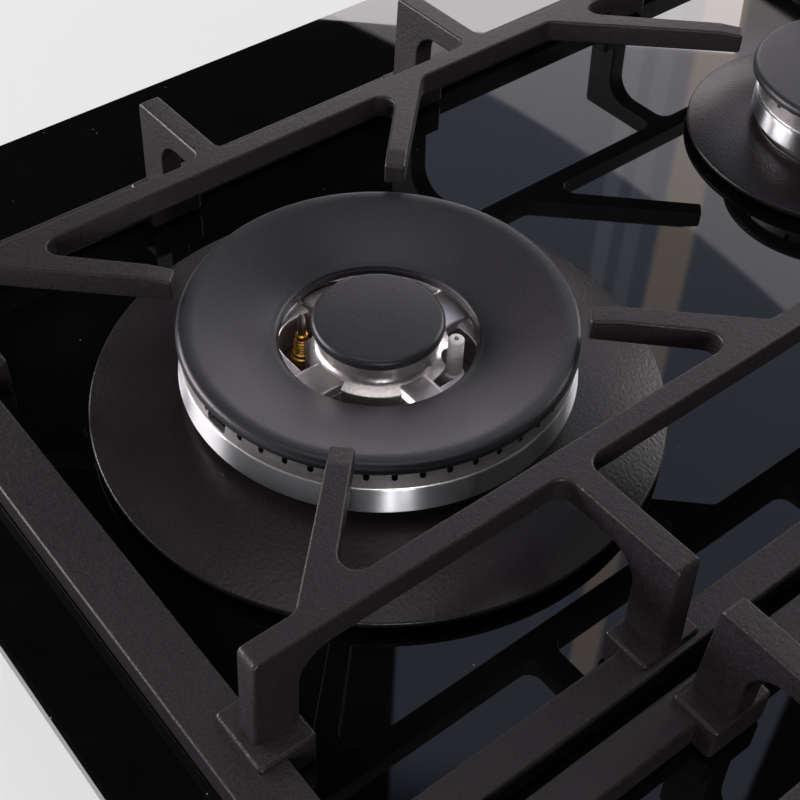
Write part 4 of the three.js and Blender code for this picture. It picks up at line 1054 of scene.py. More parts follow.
@dataclass
class WokBurner:
    """Two-ring wok burner: skirt, cast head with its polished band, caps and probes."""

    segments: int = 192
    skirt_inner: float = 58.8
    skirt_crown: float = 12.6
    skirt_rim: float = 6.0
    skirt_thickness: float = 2.6
    band_radius: float = 66.0
    band_bottom: float = 18.0
    band_top: float = 28.0
    band_draft: float = 1.0
    port_radius: float = 64.6
    port_draft: float = 0.9
    ring_inner: float = 33.8
    ring_wall: float = 5.2
    outer_wall: float = 2.0
    pocket_width: float = 54.0
    pocket_corner: float = 13.0
    pocket_top: float = 24.6
    deck_radius: float = 57.5
    ports: int = 48
    port_width: float = 1.9
    port_depth: float = 2.8
    window_width: float = 9.0
    window_angle: float = -88.5
    crown_radius: float = 18.6
    crown_flange: float = 24.0
    crown_flange_top: float = 24.3
    crown_bore: float = 12.0
    crown_ports: int = 16
    spigot: float = 15.0
    bridge_sides: tuple[Spot, ...] = ((-8.3, 4.6), (-9.3, 9.0), (-9.0, 9.0), (-6.0, 9.6))
    bridge_top: float = 25.6
    bridge_bottom: float = 15.0
    cap_hole: float = 32.5
    cap_lip: float = 3.0
    cap_dish: float = 7.7
    cap_shoulder: float = 57.0
    cap_thickness: float = 4.6
    probe_clearance: float = 4.6

    def __post_init__(self) -> None:
        """Read the burner's place and the heights of its parts from the CAD nodes."""
        x, y = middle("wok_skirt")
        self.at = (x, y, GLASS_TOP)
        self.foot = 12.3
        cap_low, cap_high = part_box("wok_ring_cap")
        self.ring_top = cap_high.z / MM - GLASS_TOP - self.cap_thickness - 0.3
        self.inner_top = cap_low.z / MM - GLASS_TOP - 0.3
        self.crown_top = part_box("wok_inner_cap")[0].z / MM - GLASS_TOP - 0.3
        self.electrode_at = middle("wok_electrode")
        self.thermocouple_at = middle("wok_thermocouple")

    def skirt(self) -> bpy.types.Object:
        """Enamelled plate round the burner.

        Returns:
            The piece.
        """
        outer = (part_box("wok_skirt")[1].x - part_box("wok_skirt")[0].x) / 2 / MM
        return skirt_piece(
            "wok_skirt_plate", outer, self.skirt_rim, self.skirt_crown, self.skirt_inner,
            self.skirt_thickness, 61.5, self.segments, self.at,
        )

    def head(self) -> bpy.types.Object:
        """Cast head: outer ring with its ports, inner crown and the bridges between them.

        Returns:
            The piece.
        """
        floor = self.band_bottom - 1.5
        wall = self.port_radius - self.outer_wall
        ring = Solid().lathe(filleted([
            (self.ring_inner, self.foot + 0.1, 0.6),
            (self.deck_radius, self.foot + 0.1, 0.6),
            (self.deck_radius, self.band_bottom - 0.8, 0.5),
            (self.band_radius - 1.2, self.band_bottom + 0.1, 0.3),
            (self.band_radius - 1.2, self.band_top - 0.4, 0.3),
            (self.port_radius, self.band_top - 0.1, 0.3),
            (self.port_radius - self.port_draft, self.ring_top, 0.5),
            (wall, self.ring_top, 0.5),
            (wall, floor, 1.0),
            (self.ring_inner + self.ring_wall, floor, 1.0),
            (self.ring_inner + self.ring_wall, self.inner_top, 0.5),
            (self.ring_inner, self.inner_top, 0.5),
        ], 3), self.segments).object("wok_head_casting", (CAST_ALUMINIUM,))
        pocket = Solid().slab(
            box_corners(2 * self.ring_inner + 3.0, 2 * self.ring_inner + 3.0, self.ring_inner + 1.4),
            self.foot + 0.12, self.pocket_top, 0.6, steps=24,
            hole=box_corners(self.pocket_width, self.pocket_width, self.pocket_corner),
        )
        combined(ring, pocket.object("pocket", (CAST_ALUMINIUM,)), Join.ADD)
        crown = Solid().lathe(filleted([
            (self.crown_bore, self.foot - 9.0),
            (self.spigot, self.foot - 9.0),
            (self.spigot, self.foot + 0.1),
            (self.crown_flange, self.foot + 0.1, 0.5),
            (self.crown_flange, self.crown_flange_top, 0.5),
            (self.crown_radius + 0.4, self.crown_flange_top + 2.2, 3.6),
            (self.crown_radius, self.crown_top, 0.4),
            (self.crown_bore, self.crown_top, 0.4),
        ], 5), 96).object("crown", (CAST_ALUMINIUM,))
        combined(ring, crown, Join.ADD)
        start, end = self.crown_radius - 1.0, self.ring_inner + 1.0
        for quarter, (low_side, high_side) in enumerate(self.bridge_sides):
            turn = Matrix.Rotation(math.radians(90 * quarter), 4, "Z")
            shape: list[Corner] = [
                (low_side, self.bridge_bottom, 0.6), (high_side, self.bridge_bottom, 0.6),
                (high_side, self.bridge_top - 1.8, 1.2), (high_side - 1.8, self.bridge_top, 1.6),
                (low_side + 1.8, self.bridge_top, 1.6), (low_side, self.bridge_top - 1.8, 1.2),
            ]
            bridge = Solid().prism(filleted(shape, 4), start, end, turn @ LYING)
            combined(ring, bridge.object("bridge", (CAST_ALUMINIUM,)), Join.ADD)
        self._cut_ports(ring)
        # paints shade into the gas channel and port notches
        self._paint_channel_shade(ring)
        even_normals(ring, 40.0)
        return moved(ring, self.at)

    def _paint_channel_shade(self, ring: bpy.types.Object) -> None:
        """Paint shade into the gas channel behind the ports: its walls and the port notches get a near-black
        finish that stands in for the shade inside the head.
        """
        # faces inside the channel get the painted-shade finish
        ring.data.materials.append(PAINTED_SHADE_ALUMINIUM.material())
        low, high = self.ring_inner + self.ring_wall - 0.2, self.port_radius - self.outer_wall + 0.2
        for face in ring.data.polygons:
            centre = face.center / MM
            reach = high + 0.8 if centre.z > self.band_top + 1.5 else high
            inside = self.band_bottom - 2.0 < centre.z < self.ring_top - 0.05
            if inside and low < math.hypot(centre.x, centre.y) < reach:
                face.material_index = 1

    def _cut_ports(self, ring: bpy.types.Object) -> None:
        """Cut the flame ports, the window and the hollows beside the probes."""
        outer = (self.port_radius - self.outer_wall - 2.0, self.port_radius + 2.0)
        depths = (self.ring_top - self.port_depth, self.ring_top + 2.0)
        slotted(ring, self.ports, self.port_width / 2, depths, outer)
        crown = (self.crown_bore - 2.0, self.crown_radius + 2.0)
        slotted(ring, self.crown_ports, 0.8, (self.crown_top - 1.2, self.crown_top + 2.0), crown, False)
        half = self.window_width / 2
        shape: list[Corner] = [
            (-half, self.band_top + 0.8, 0.8), (half, self.band_top + 0.8, 0.8),
            (half, self.ring_top + 2.0), (-half, self.ring_top + 2.0),
        ]
        window = Solid().prism(filleted(shape, 3), outer[0], self.port_radius + 3.0, LYING)
        opening = window.object("window", (CAST_ALUMINIUM,))
        opening.data.transform(Matrix.Rotation(math.radians(self.window_angle), 4, "Z"))
        combined(ring, opening, Join.CUT)
        for x, y in (self.electrode_at, self.thermocouple_at):
            hollow = Solid().lathe(
                filleted([(0.0, self.foot - 2.0), (self.probe_clearance, self.foot - 2.0),
                          (self.probe_clearance, self.bridge_top + 1.0), (0.0, self.bridge_top + 1.0)]),
                48, (x - self.at[0], y - self.at[1], 0.0),
            )
            combined(ring, hollow.object("hollow", (CAST_ALUMINIUM,)), Join.CUT)

    def band(self) -> bpy.types.Object:
        """Polished band round the cast head.

        Returns:
            The piece.
        """
        outline = filleted([
            (self.band_radius - 2.4, self.band_bottom + 0.5),
            (self.band_radius - 0.6, self.band_bottom, 0.3),
            (self.band_radius, self.band_bottom + 0.9, 0.4),
            (self.band_radius - self.band_draft, self.band_top - 0.7, 0.3),
            (self.band_radius - self.band_draft - 0.5, self.band_top, 0.25),
            (self.port_radius - 0.8, self.band_top + 0.05),
        ], 4)
        band = Solid().lathe(outline, self.segments, self.at)
        return band.object("wok_polished_band", (POLISHED_ALUMINIUM,))

    def ring_cap(self) -> bpy.types.Object:
        """Ring cap, whose top falls towards its hole like a shallow dish.

        Returns:
            The piece.
        """
        low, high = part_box("wok_ring_cap")
        radius = (high.x - low.x) / 2 / MM
        top = high.z / MM - GLASS_TOP
        bottom = top - self.cap_thickness
        inner = top - self.cap_dish
        outline = filleted([
            (self.cap_shoulder, bottom, 6.0),
            (radius - 0.9, bottom, 0.5),
            (radius, bottom + 1.2, 0.8),
            (radius, top, 2.4, 8),
            (radius - 5.0, top - 0.1, 12.0, 6),
            (self.cap_hole + self.cap_lip, inner + 0.1, 14.0, 6),
            (self.cap_hole, inner - 0.8, 2.2, 10),
            (self.cap_hole, inner - self.cap_thickness + 0.6, 0.4),
            (self.cap_hole + 2.0, inner - self.cap_thickness, 0.6),
        ], 4)
        return Solid().lathe(outline, self.segments, self.at).object("wok_ring_cap_enamelled", (CAP_ENAMEL,))

    def inner_cap(self) -> bpy.types.Object:
        """Centre cap.

        Returns:
            The piece.
        """
        low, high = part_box("wok_inner_cap")
        outline = cap_outline((high.x - low.x) / 2 / MM, low.z / MM, high.z / MM, 1.9)
        place = (*self.at[:2], 0.0)
        return Solid().lathe(outline, self.segments, place).object("wok_inner_cap_enamelled", (CAP_ENAMEL,))

    def dress(self) -> None:
        """Build the burner's pieces and hand them to the frame."""
        seated(self.skirt(), "base", "enamelled_plate", "wok_skirt")
        seated(self.head(), "wok_burner_head", "cast_aluminium", "wok_head")
        seated(self.band(), "wok_burner_head", "cast_aluminium")
        seated(self.ring_cap(), "wok_outer_cap", "enamel_cap", "wok_ring_cap")
        seated(self.inner_cap(), "wok_centre_cap", "enamel_cap", "wok_inner_cap")
        Electrode("wok").dress()
        Thermocouple("wok").dress()
        dress_node("wok_cup", DARK_ALUMINIUM)


def skirt_piece(
    name: str, outer: float, rim: float, crown: float, inner: float, thickness: float, foot: float,
    segments: int, at: Sequence[float],
) -> bpy.types.Object:
    """Enamelled plate round a burner, standing on a foot ring.

    Args:
        name: name of the piece.
        outer: radius of the rim.
        rim: height of the rim.
        crown: height at the inner edge.
        inner: radius of the inner edge.
        thickness: thickness of the plate.
        foot: inner radius of the foot ring.
        segments: steps round.
        at: where it stands, mm.

    Returns:
        The piece.
    """
    slope = (crown - rim) / (outer - inner)
    under = crown - slope * (foot - inner) - thickness
    outline = filleted([
        (inner, crown - thickness, 0.3),
        (foot, under),
        (foot, 0.3, 0.5),
        (foot + 4.0, 0.3, 0.5),
        (outer - 1.3, rim - thickness + 0.1, 0.6),
        (outer, rim - thickness + 0.7, 0.6),
        (outer, rim, 0.9, 6),
        (inner, crown, 0.9, 5),
    ], 4)
    return Solid().lathe(outline, segments, at).object(name, (SKIRT_ENAMEL,))


@dataclass
class Electrode:
    """Spark electrode: ceramic body, metal seat and wire tip."""

    burner: str
    radius: float = 2.65
    seat_radius: float = 3.75
    seat_height: float = 3.0

    def dress(self) -> None:
        """Build the electrode and hand it to the frame."""
        node = f"{self.burner}_electrode"
        low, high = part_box(node)
        x, y = middle(node)
        base, top = low.z / MM, high.z / MM - 0.7
        body = Solid().lathe(filleted([
            (0.0, base + 1.0), (self.radius + 0.7, base + 1.0), (self.radius + 0.7, base + 5.6, 0.4),
            (self.radius, base + 6.2, 0.4), (self.radius, top, 0.8), (0.75, top, 0.2), (0.75, top - 0.6),
            (0.0, top - 0.6),
        ], 4), 48, (x, y, 0.0))
        seated(body.object(f"{self.burner}_electrode_ceramic", (CERAMIC,)), "base", "ceramic", node)
        metal = Solid()
        metal.lathe(filleted([
            (0.0, base), (self.seat_radius, base, 0.4), (self.seat_radius, base + self.seat_height, 0.7),
            (self.radius + 0.72, base + self.seat_height, 0.1), (self.radius + 0.72, base + 0.8),
            (0.0, base + 0.8),
        ], 4), 48, (x, y, 0.0))
        metal.lathe(filleted([
            (0.0, top - 0.55), (0.62, top - 0.55), (0.62, top + 0.65, 0.3), (0.0, top + 0.65),
        ], 4), 24, (x, y, 0.0))
        seated(metal.object(f"{self.burner}_electrode_metal", (PROBE_STEEL,)), "base", "brass")


@dataclass
class Thermocouple:
    """Flame probe: steel pin in a threaded brass nut."""

    burner: str
    pin_radius: float = 1.3
    collar_radius: float = 2.2
    nut_radius: float = 2.8
    flange_radius: float = 4.1
    thread_pitch: float = 0.8

    def dress(self) -> None:
        """Build the probe and hand it to the frame."""
        node = f"{self.burner}_thermocouple"
        low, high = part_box(node)
        x, y = middle(node)
        base, top = low.z / MM, high.z / MM
        pin = Solid().lathe(filleted([
            (0.0, base + 3.0), (self.pin_radius, base + 3.0), (self.pin_radius, top - 3.4, 0.6),
            (self.pin_radius * 0.5, top - 0.3, 0.4), (0.0, top),
        ], 4), 40, (x, y, 0.0))
        seated(pin.object(f"{self.burner}_probe_pin", (PROBE_STEEL,)), "base", "brass", node)
        nut = Solid()
        nut.lathe(filleted([
            (self.pin_radius + 0.05, base), (self.flange_radius, base, 0.3),
            (self.flange_radius, base + 2.4, 0.5),
            (self.nut_radius + 0.6, base + 2.8, 0.2), (self.nut_radius + 0.6, base + 4.0, 0.3),
            (self.nut_radius - 0.35, base + 4.3), (self.nut_radius - 0.35, base + 9.4, 0.4),
            (self.collar_radius - 0.4, base + 9.8, 0.2), (self.collar_radius, base + 10.3, 0.2),
            (self.collar_radius, base + 11.4, 0.4), (self.pin_radius + 0.05, base + 11.9, 0.2),
        ]), 40, (x, y, 0.0))
        seated(nut.object(f"{self.burner}_probe_nut", (BRASS,)), "base", "brass")
        turns = int((9.2 - 4.2) / self.thread_pitch)
        thread = Solid().lathe(filleted([
            (self.nut_radius - 0.6, -0.34), (self.nut_radius, -0.06, 0.05), (self.nut_radius, 0.06, 0.05),
            (self.nut_radius - 0.6, 0.34),
        ], 2), 40)
        threads = thread.object(f"{self.burner}_probe_thread", (BRASS,))
        REPEAT.apply(threads, turns, BRASS, step=(0.0, 0.0, self.thread_pitch))
        soften(threads)
        seated(moved(threads, (x, y, base + 4.6)), "base", "brass")


@dataclass
class PlainBurner:
    """Burner with one ring of ports: skirt, head with a polished band, cap and probes."""

    name: str
    head_radius: float
    ports: int
    segments: int = 144
    rim: float = 5.0
    crown: float = 8.5
    thickness: float = 2.6
    band_bottom: float = 12.0
    band_top: float = 21.0
    wall: float = 6.0
    port_width: float = 2.0
    port_depth: float = 4.0

    def __post_init__(self) -> None:
        """Read the burner's place and main sizes from the CAD nodes."""
        x, y = middle(f"{self.name}_head")
        self.at = (x, y, GLASS_TOP)
        low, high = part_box(f"{self.name}_cap")
        self.cap_radius = (high.x - low.x) / 2 / MM
        self.head_top = low.z / MM - GLASS_TOP - 0.3
        self.probe_spots = (middle(f"{self.name}_electrode"), middle(f"{self.name}_thermocouple"))

    def skirt(self) -> bpy.types.Object:
        """Enamelled plate with holes for the two probes.

        Returns:
            The piece.
        """
        low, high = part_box(f"{self.name}_skirt")
        outer = (high.x - low.x) / 2 / MM
        foot = self.cap_radius + 4.2 + 3.6 + 2.5
        plate = skirt_piece(
            f"{self.name}_skirt_plate", outer, self.rim, self.crown, self.head_radius - 2.0, self.thickness,
            foot, self.segments, self.at,
        )
        for x, y in self.probe_spots:
            hole = Solid().lathe([(0.0, 0.0), (4.4, 0.0), (4.4, 14.0), (0.0, 14.0)], 32, (x, y, GLASS_TOP))
            combined(plate, hole.object("hole", (SKIRT_ENAMEL,)), Join.CUT)
        soften(plate)
        return plate

    def head(self) -> bpy.types.Object:
        """Cast head with its ports.

        Returns:
            The piece.
        """
        spigot = self.head_radius - self.wall
        body = Solid().lathe(filleted([
            (spigot - 2.5, 3.3 - 8.0), (spigot, 3.3 - 8.0), (spigot, 3.3),
            (self.head_radius - 3.0, 3.3, 0.4), (self.head_radius - 3.0, self.band_bottom - 1.0, 0.4),
            (self.head_radius + 0.2, self.band_bottom + 0.2, 0.3),
            (self.head_radius + 0.2, self.band_top - 0.2, 0.3),
            (self.head_radius, self.band_top + 0.6, 0.2), (self.head_radius, self.head_top, 0.5),
            (spigot - 2.5, self.head_top, 0.5),
        ], 3), self.segments).object(f"{self.name}_head_casting", (CAST_ALUMINIUM,))
        heights = (self.head_top - self.port_depth, self.head_top + 2.0)
        slotted(body, self.ports, self.port_width / 2, heights, (spigot - 5.0, self.head_radius + 2.0))
        even_normals(body, 40.0)
        return moved(body, self.at)

    def band(self) -> bpy.types.Object:
        """Polished band round the head.

        Returns:
            The piece.
        """
        r = self.head_radius + 1.2
        outline = filleted([
            (r - 2.2, self.band_bottom + 0.5), (r - 0.6, self.band_bottom, 0.3),
            (r, self.band_bottom + 0.9, 0.4),
            (r, self.band_top - 0.6, 0.3), (r - 0.6, self.band_top, 0.25), (r - 1.6, self.band_top + 0.1),
        ], 4)
        band = Solid().lathe(outline, self.segments, self.at)
        return band.object(f"{self.name}_polished_band", (POLISHED_ALUMINIUM,))

    def dress(self) -> None:
        """Build the burner's pieces and hand them to the frame."""
        seated(self.skirt(), "base", "enamelled_plate", f"{self.name}_skirt")
        seated(self.head(), f"{self.name}_burner_head", "cast_aluminium", f"{self.name}_head")
        seated(self.band(), f"{self.name}_burner_head", "cast_aluminium")
        low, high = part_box(f"{self.name}_cap")
        outline = cap_outline(self.cap_radius, low.z / MM, high.z / MM, 2.2)
        cap = Solid().lathe(outline, self.segments, (*self.at[:2], 0.0))
        dressed = cap.object(f"{self.name}_cap_enamelled", (CAP_ENAMEL,))
        seated(dressed, f"{self.name}_burner_cap", "enamel_cap", f"{self.name}_cap")
        Electrode(self.name).dress()
        Thermocouple(self.name).dress()
        dress_node(f"{self.name}_cup", DARK_ALUMINIUM)


# ---------------------------------------------------------------- controls
@dataclass
class Control:
    """Control knob on its spindle."""

    name: str
    radius: float = 21.0
    top_radius: float = 19.4
    base_height: float = 9.0
    grip_width: float = 13.0
    bore: float = 4.9
    mark_length: float = 9.0

    def _mark(self, half: float, start: float, end: float) -> list[Corner]:
        """Corners of the mark line, for its groove and its inlay."""
        return [(-half, start, 0.3), (half, start, 0.3), (half, end, 0.3), (-half, end, 0.3)]

    def dress(self) -> None:
        """Build the knob, dress the nodes below it and hand the pieces to the frame."""
        node = f"{self.name}_knob"
        low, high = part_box(node)
        x, y = middle(node)
        base, top = low.z / MM, high.z / MM
        place = Matrix.Translation((x, y, 0.0))
        body = Solid().lathe(filleted([
            (self.bore, base + 0.2, 0.2), (7.0, base + 0.2, 0.3), (7.0, base + 5.9),
            (self.radius - 3.0, base + 5.9, 0.4), (self.radius - 3.0, base + 2.4, 0.4),
            (self.radius - 0.1, base + 2.4, 0.3), (self.top_radius, base + self.base_height, 1.6, 8),
            (self.bore, base + self.base_height, 0.1),
        ], 4), 128, (x, y, 0.0)).object(f"{node}_base", (KNOB_BLACK,))
        grip = Solid().slab(
            box_corners(self.grip_width, 2 * self.top_radius - 0.4, self.grip_width / 2 - 0.6),
            base + 6.2, top, 1.8, place, steps=12, arc=6, draft=0.5,
        ).object("grip", (KNOB_BLACK,))
        combined(body, grip, Join.ADD)
        reach = self.top_radius - 1.6
        groove = Solid().slab(
            self._mark(0.85, reach - self.mark_length, reach), top - 0.5, top + 1.0, 0.1,
            place, steps=2, arc=1,
        ).object("groove", (KNOB_BLACK,))
        combined(body, groove, Join.CUT)
        even_normals(body, 45.0)
        seated(body, f"{self.name}_control", "knob_black", node)
        mark = Solid().slab(
            self._mark(0.8, reach - self.mark_length + 0.05, reach - 0.05), top - 0.6, top - 0.08, 0.08,
            place, steps=3, arc=2,
        ).object(f"{node}_mark", (CERAMIC,))
        seated(mark, f"{self.name}_control", "knob_black")
        ring = Solid().lathe(filleted([
            (self.radius - 3.2, base, 0.2), (self.radius, base, 0.4), (self.radius, base + 2.3, 0.5),
            (self.radius - 3.2, base + 2.3, 0.2),
        ], 4), 128, (x, y, 0.0)).object(f"{node}_ring", (KNOB_RING,))
        seated(ring, f"{self.name}_control", "plated_steel")
        dress_node(f"{self.name}_stem", PLATED_STEEL)
        dress_node(f"{self.name}_collar", PLATED_STEEL)
        dress_node(f"{self.name}_valve", BRASS)
        dress_node(f"{self.name}_feed_tube", PLATED_STEEL)


# ---------------------------------------------------------------- panel and box
@dataclass
class Base:
    """Glass panel, burner box, seal and gas rail."""

    def dress(self) -> None:
        """Give the base's nodes their finishes."""
        dress_node("glass_panel", GLASS)
        dress_node("burner_box", BOX_STEEL)
        dress_node("gasket", RUBBER)
        dress_node("worktop_seal", RUBBER)
        dress_node("gas_rail", PLATED_STEEL)
        for side in ("left", "right"):
            for corner in ("front_left", "front_right", "rear_left", "rear_right"):
                dress_node(f"support_{side}_foot_{corner}", RUBBER)


# ---------------------------------------------------------------- studio
def combine(
    tree: bpy.types.NodeTree, operation: str, first: bpy.types.NodeSocket,
    second: bpy.types.NodeSocket | float,
) -> bpy.types.NodeSocket:
    """Result of a Math node on two values.

    Args:
        tree: the node tree.
        operation: the Math node's operation.
        first: first value.
        second: second value, a socket or a number.

    Returns:
        The node's output.
    """
    node = tree.nodes.new("ShaderNodeMath")
    node.operation = operation
    tree.links.new(first, node.inputs[0])
    if isinstance(second, (int, float)):
        node.inputs[1].default_value = second
    else:
        tree.links.new(second, node.inputs[1])
    return node.outputs[0]


@dataclass(frozen=True)
class Glow:
    """Soft-edged patch of light in the room that glossy rays see.

    Attributes:
        azimuth: from and to, degrees counter-clockwise from +X.
        height: from and to, sine of the elevation.
        colour: light that it adds.
        soft: width of its edges, degrees and sine.
        tilt: how much its height falls per degree of azimuth.
        pivot: azimuth at which its height is as given.
    """

    azimuth: Spot
    height: Spot
    colour: Colour
    soft: Spot
    tilt: float = 0.0
    pivot: float = 0.0

    def add(
        self,
        tree: bpy.types.NodeTree,
        azimuth: bpy.types.NodeSocket,
        height: bpy.types.NodeSocket,
        under: bpy.types.NodeSocket,
    ) -> bpy.types.NodeSocket:
        """Add the patch to a colour.

        Args:
            tree: the world's node tree.
            azimuth: azimuth of the ray, degrees.
            height: sine of the ray's elevation.
            under: the colour so far.

        Returns:
            The colour with the patch.
        """
        if self.tilt:
            fall = combine(tree, "MULTIPLY", combine(tree, "SUBTRACT", azimuth, self.pivot), self.tilt)
            height = combine(tree, "ADD", height, fall)
        mask = None
        spans = ((azimuth, self.azimuth, self.soft[0]), (height, self.height, self.soft[1]))
        for value, (low, high), soft in spans:
            for edge, rise in ((low, 1.0), (high, 0.0)):
                step = tree.nodes.new("ShaderNodeMapRange")
                step.interpolation_type = "SMOOTHSTEP"
                step.inputs["From Min"].default_value = edge - soft / 2
                step.inputs["From Max"].default_value = edge + soft / 2
                step.inputs["To Min"].default_value = 1.0 - rise
                step.inputs["To Max"].default_value = rise
                tree.links.new(value, step.inputs["Value"])
                mask = step.outputs[0] if mask is None else combine(tree, "MULTIPLY", mask, step.outputs[0])
        total = tree.nodes.new("ShaderNodeVectorMath")
        total.operation = "MULTIPLY_ADD"
        total.inputs[0].default_value = self.colour
        tree.links.new(mask, total.inputs[1])
        tree.links.new(under, total.inputs[2])
        return total.outputs[0]


WARM: Colour = (1.0, 0.955, 0.97)


@dataclass
class Lamp:
    """Soft rectangular lamp, placed and aimed in mm from the wok burner's middle."""

    name: str
    spot: tuple[float, float, float]
    aim: tuple[float, float, float]
    size: tuple[float, float]
    power: float
    colour: Colour = (1.0, 1.0, 1.0)

    def hang(self, centre: Sequence[float]) -> None:
        """Add the lamp to the scene.

        Args:
            centre: the wok burner's middle on the glass, mm.
        """
        data = bpy.data.lights.new(self.name, "AREA")
        data.shape = "RECTANGLE"
        data.size, data.size_y = (s * MM for s in self.size)
        data.energy = self.power
        data.color = self.colour
        lamp = bpy.data.objects.new(self.name, data)
        place = Vector([c + s for c, s in zip(centre, self.spot)])
        target = Vector([c + s for c, s in zip(centre, self.aim)])
        lamp.rotation_euler = (target - place).to_track_quat("-Z", "Y").to_euler()
        lamp.location = place * MM
        bpy.context.scene.collection.objects.link(lamp)


@dataclass
class Studio:
    """Camera at the photograph's angle, lamps, world and pale floor."""

    lens: float = 61.66
    sensor: float = 36.0
    shift: tuple[float, float] = (0.0928, -0.0299)
    eye: tuple[float, float, float] = (252.5, -205.1, 336.9)
    right: tuple[float, float, float] = (0.5965, 0.8026, -0.0097)
    up: tuple[float, float, float] = (-0.5649, 0.4284, 0.7052)
    back: tuple[float, float, float] = (0.5701, -0.4152, 0.7089)
    sky: Spot = (0.0, 0.10)
    pale: Colour = (0.80, 0.80, 0.81)
    fill: float = 0.13
    paleness: float = 0.7
    near_floor: Spot = (0.50, 1.05)
    floor_reach: float = 6.0
    glows: tuple[Glow, ...] = (
        Glow((112.0, 139.0), (0.50, 0.88), (0.40, 0.44, 0.60), (0.5, 0.03)),
        Glow((100.0, 150.0), (0.44, 0.577), (1.15, 1.05, 1.05), (4.0, 0.004), 0.0057, 130.9),
        Glow((124.7, 126.5), (0.44, 0.95), (0.80, 0.58, 0.28), (0.35, 0.05)),
        Glow((128.8, 129.6), (0.44, 0.80), (0.22, 0.22, 0.25), (0.2, 0.08)),
        Glow((127.4, 128.2), (0.44, 0.80), (0.18, 0.18, 0.20), (0.2, 0.08)),
    )
    lamps: tuple[Lamp, ...] = (
        Lamp("overhead", (120.0, -60.0, 1500.0), (40.0, 20.0, 0.0), (1100.0, 900.0), 5.0, WARM),
        Lamp("left_softbox", (-1150.0, -898.0, 440.0), (0.0, 0.0, 20.0), (1240.0, 450.0), 36.0, WARM),
        Lamp("back_softbox", (60.0, 1500.0, 700.0), (0.0, 60.0, 20.0), (900.0, 700.0), 12.0, WARM),
        Lamp("low_softbox", (-1180.0, 1060.0, 610.0), (-120.0, -60.0, 20.0), (900.0, 340.0), 4.2, WARM),
        Lamp("front_streak_a", (1200.0, -735.0, 330.0), (0.0, 0.0, 20.0), (64.0, 360.0), 4.4),
        Lamp("front_streak_b", (1282.0, -580.0, 330.0), (0.0, 0.0, 20.0), (56.0, 360.0), 3.9),
    )

    def camera(self, centre: Sequence[float]) -> None:
        """Add the camera.

        Args:
            centre: the wok burner's middle on the glass, mm.
        """
        data = bpy.data.cameras.new("photo_camera")
        data.lens = self.lens
        data.sensor_width = self.sensor
        data.shift_x, data.shift_y = self.shift
        data.clip_start = 0.01
        camera = bpy.data.objects.new("photo_camera", data)
        axes = Matrix((self.right, self.up, self.back)).transposed()
        place = Vector([c + e for c, e in zip(centre, self.eye)]) * MM
        camera.matrix_world = Matrix.Translation(place) @ axes.to_4x4()
        bpy.context.scene.collection.objects.link(camera)
        bpy.context.scene.camera = camera

    def floor(self) -> None:
        """Pale floor on which the object stands."""
        reach = self.floor_reach
        corners = [(-reach, -reach, 0.0), (reach, -reach, 0.0), (reach, reach, 0.0), (-reach, reach, 0.0)]
        mesh = bpy.data.meshes.new("floor")
        mesh.from_pydata(corners, [], [[0, 1, 2, 3]])
        finish = bpy.data.materials.new("pale_floor")
        finish.use_nodes = True
        shader = finish.node_tree.nodes["Principled BSDF"]
        shader.inputs["Base Color"].default_value = (0.72, 0.72, 0.72, 1.0)
        shader.inputs["Roughness"].default_value = 0.9
        tree = finish.node_tree
        rays = tree.nodes.new("ShaderNodeLightPath").outputs
        mirror = combine(tree, "MAXIMUM", rays["Is Glossy Ray"], rays["Is Transmission Ray"])
        seen = combine(tree, "MAXIMUM", rays["Is Camera Ray"], mirror)
        away = tree.nodes.new("ShaderNodeVectorMath")
        away.operation = "LENGTH"
        tree.links.new(tree.nodes.new("ShaderNodeTexCoord").outputs["Object"], away.inputs[0])
        fade = tree.nodes.new("ShaderNodeMapRange")
        fade.interpolation_type = "SMOOTHSTEP"
        fade.inputs["From Min"].default_value, fade.inputs["From Max"].default_value = self.near_floor
        fade.inputs["To Min"].default_value = self.paleness
        tree.links.new(away.outputs["Value"], fade.inputs["Value"])
        pale = tree.nodes.new("ShaderNodeEmission")
        pale.inputs["Color"].default_value = (*self.pale, 1.0)
        mix = tree.nodes.new("ShaderNodeMixShader")
        tree.links.new(combine(tree, "MULTIPLY", seen, fade.outputs["Result"]), mix.inputs["Fac"])
        tree.links.new(shader.outputs[0], mix.inputs[1])
        tree.links.new(pale.outputs[0], mix.inputs[2])
        tree.links.new(mix.outputs[0], tree.nodes["Material Output"].inputs["Surface"])
        mesh.materials.append(finish)
        floor = bpy.data.objects.new("floor", mesh)
        bpy.context.scene.collection.objects.link(floor)

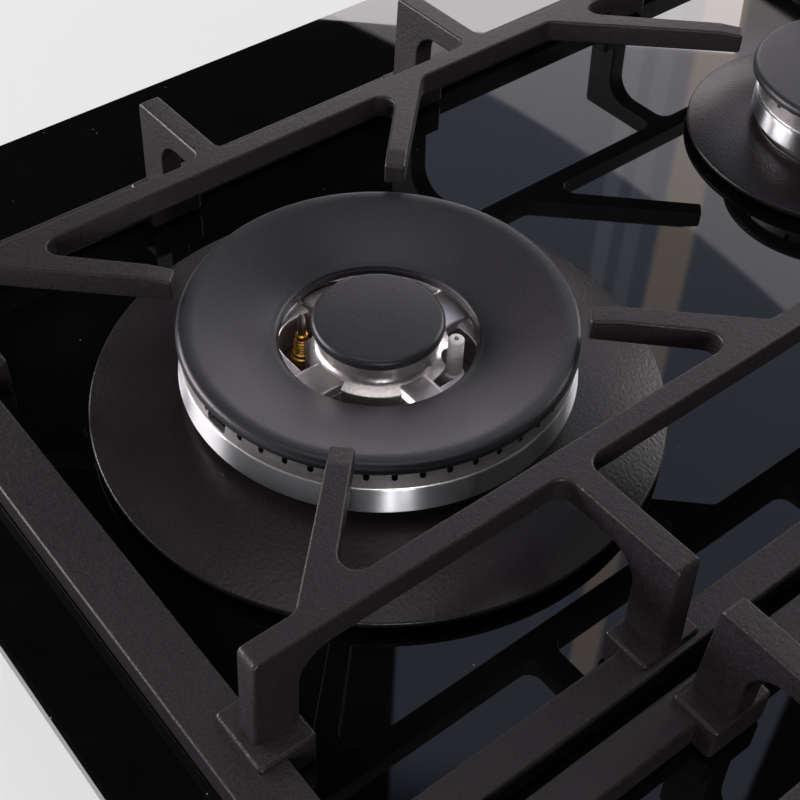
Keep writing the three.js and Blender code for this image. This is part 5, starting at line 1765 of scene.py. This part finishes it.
    def world(self) -> None:
        """Pale for the camera, a dark room with a few glows for glossy rays, and dim for the rest."""
        world = bpy.data.worlds.new("studio")
        world.use_nodes = True
        tree = world.node_tree
        background = tree.nodes["Background"]
        coords = tree.nodes.new("ShaderNodeTexCoord")
        split = tree.nodes.new("ShaderNodeSeparateXYZ")
        tree.links.new(coords.outputs["Generated"], split.inputs[0])
        height = split.outputs["Z"]
        angle = combine(tree, "ARCTAN2", split.outputs["Y"], split.outputs["X"])
        azimuth = combine(tree, "MULTIPLY", angle, math.degrees(1.0))
        ramp = tree.nodes.new("ShaderNodeValToRGB")
        ramp.color_ramp.interpolation = "EASE"
        stops = ramp.color_ramp.elements
        stops[0].position, stops[0].color = self.sky[0], (*self.pale, 1.0)
        stops[1].position, stops[1].color = self.sky[1], (0.004, 0.004, 0.005, 1.0)
        tree.links.new(height, ramp.inputs["Fac"])
        room = ramp.outputs["Color"]
        for glow in self.glows:
            room = glow.add(tree, azimuth, height, room)
        rays = tree.nodes.new("ShaderNodeLightPath").outputs
        mirror = combine(tree, "MAXIMUM", rays["Is Glossy Ray"], rays["Is Transmission Ray"])
        dim = tree.nodes.new("ShaderNodeMix")
        dim.data_type = "RGBA"
        dim.inputs["A"].default_value = (self.fill, self.fill, self.fill, 1.0)
        tree.links.new(mirror, dim.inputs["Factor"])
        tree.links.new(room, dim.inputs["B"])
        seen = tree.nodes.new("ShaderNodeMix")
        seen.data_type = "RGBA"
        seen.inputs["B"].default_value = (*self.pale, 1.0)
        tree.links.new(rays["Is Camera Ray"], seen.inputs["Factor"])
        tree.links.new(dim.outputs["Result"], seen.inputs["A"])
        tree.links.new(seen.outputs["Result"], background.inputs["Color"])
        background.inputs["Strength"].default_value = 1.0
        bpy.context.scene.world = world

    def build(self) -> None:
        """Set up the whole studio."""
        centre = (*middle("wok_skirt"), GLASS_TOP)
        self.camera(centre)
        self.world()
        self.floor()
        for lamp in self.lamps:
            lamp.hang(centre)
        bpy.context.scene.view_settings.view_transform = "Standard"


def main() -> None:
    """Build the scene, piece by piece."""
    logging.basicConfig(level=logging.INFO, format="%(name)s: %(message)s")
    Studio().build()
    Base().dress()
    PanSupport("left", 66.4, 50.0).dress()
    PanSupport("right", 30.5, 39.5).dress()
    WokBurner().dress()
    PlainBurner("rapid", 38.0, 12).dress()
    PlainBurner("semi_rapid", 28.0, 10).dress()
    PlainBurner("auxiliary", 19.5, 8).dress()
    for name in ("auxiliary", "wok", "rapid", "semi_rapid"):
        Control(name).dress()


if __name__ == "__main__":
    main()
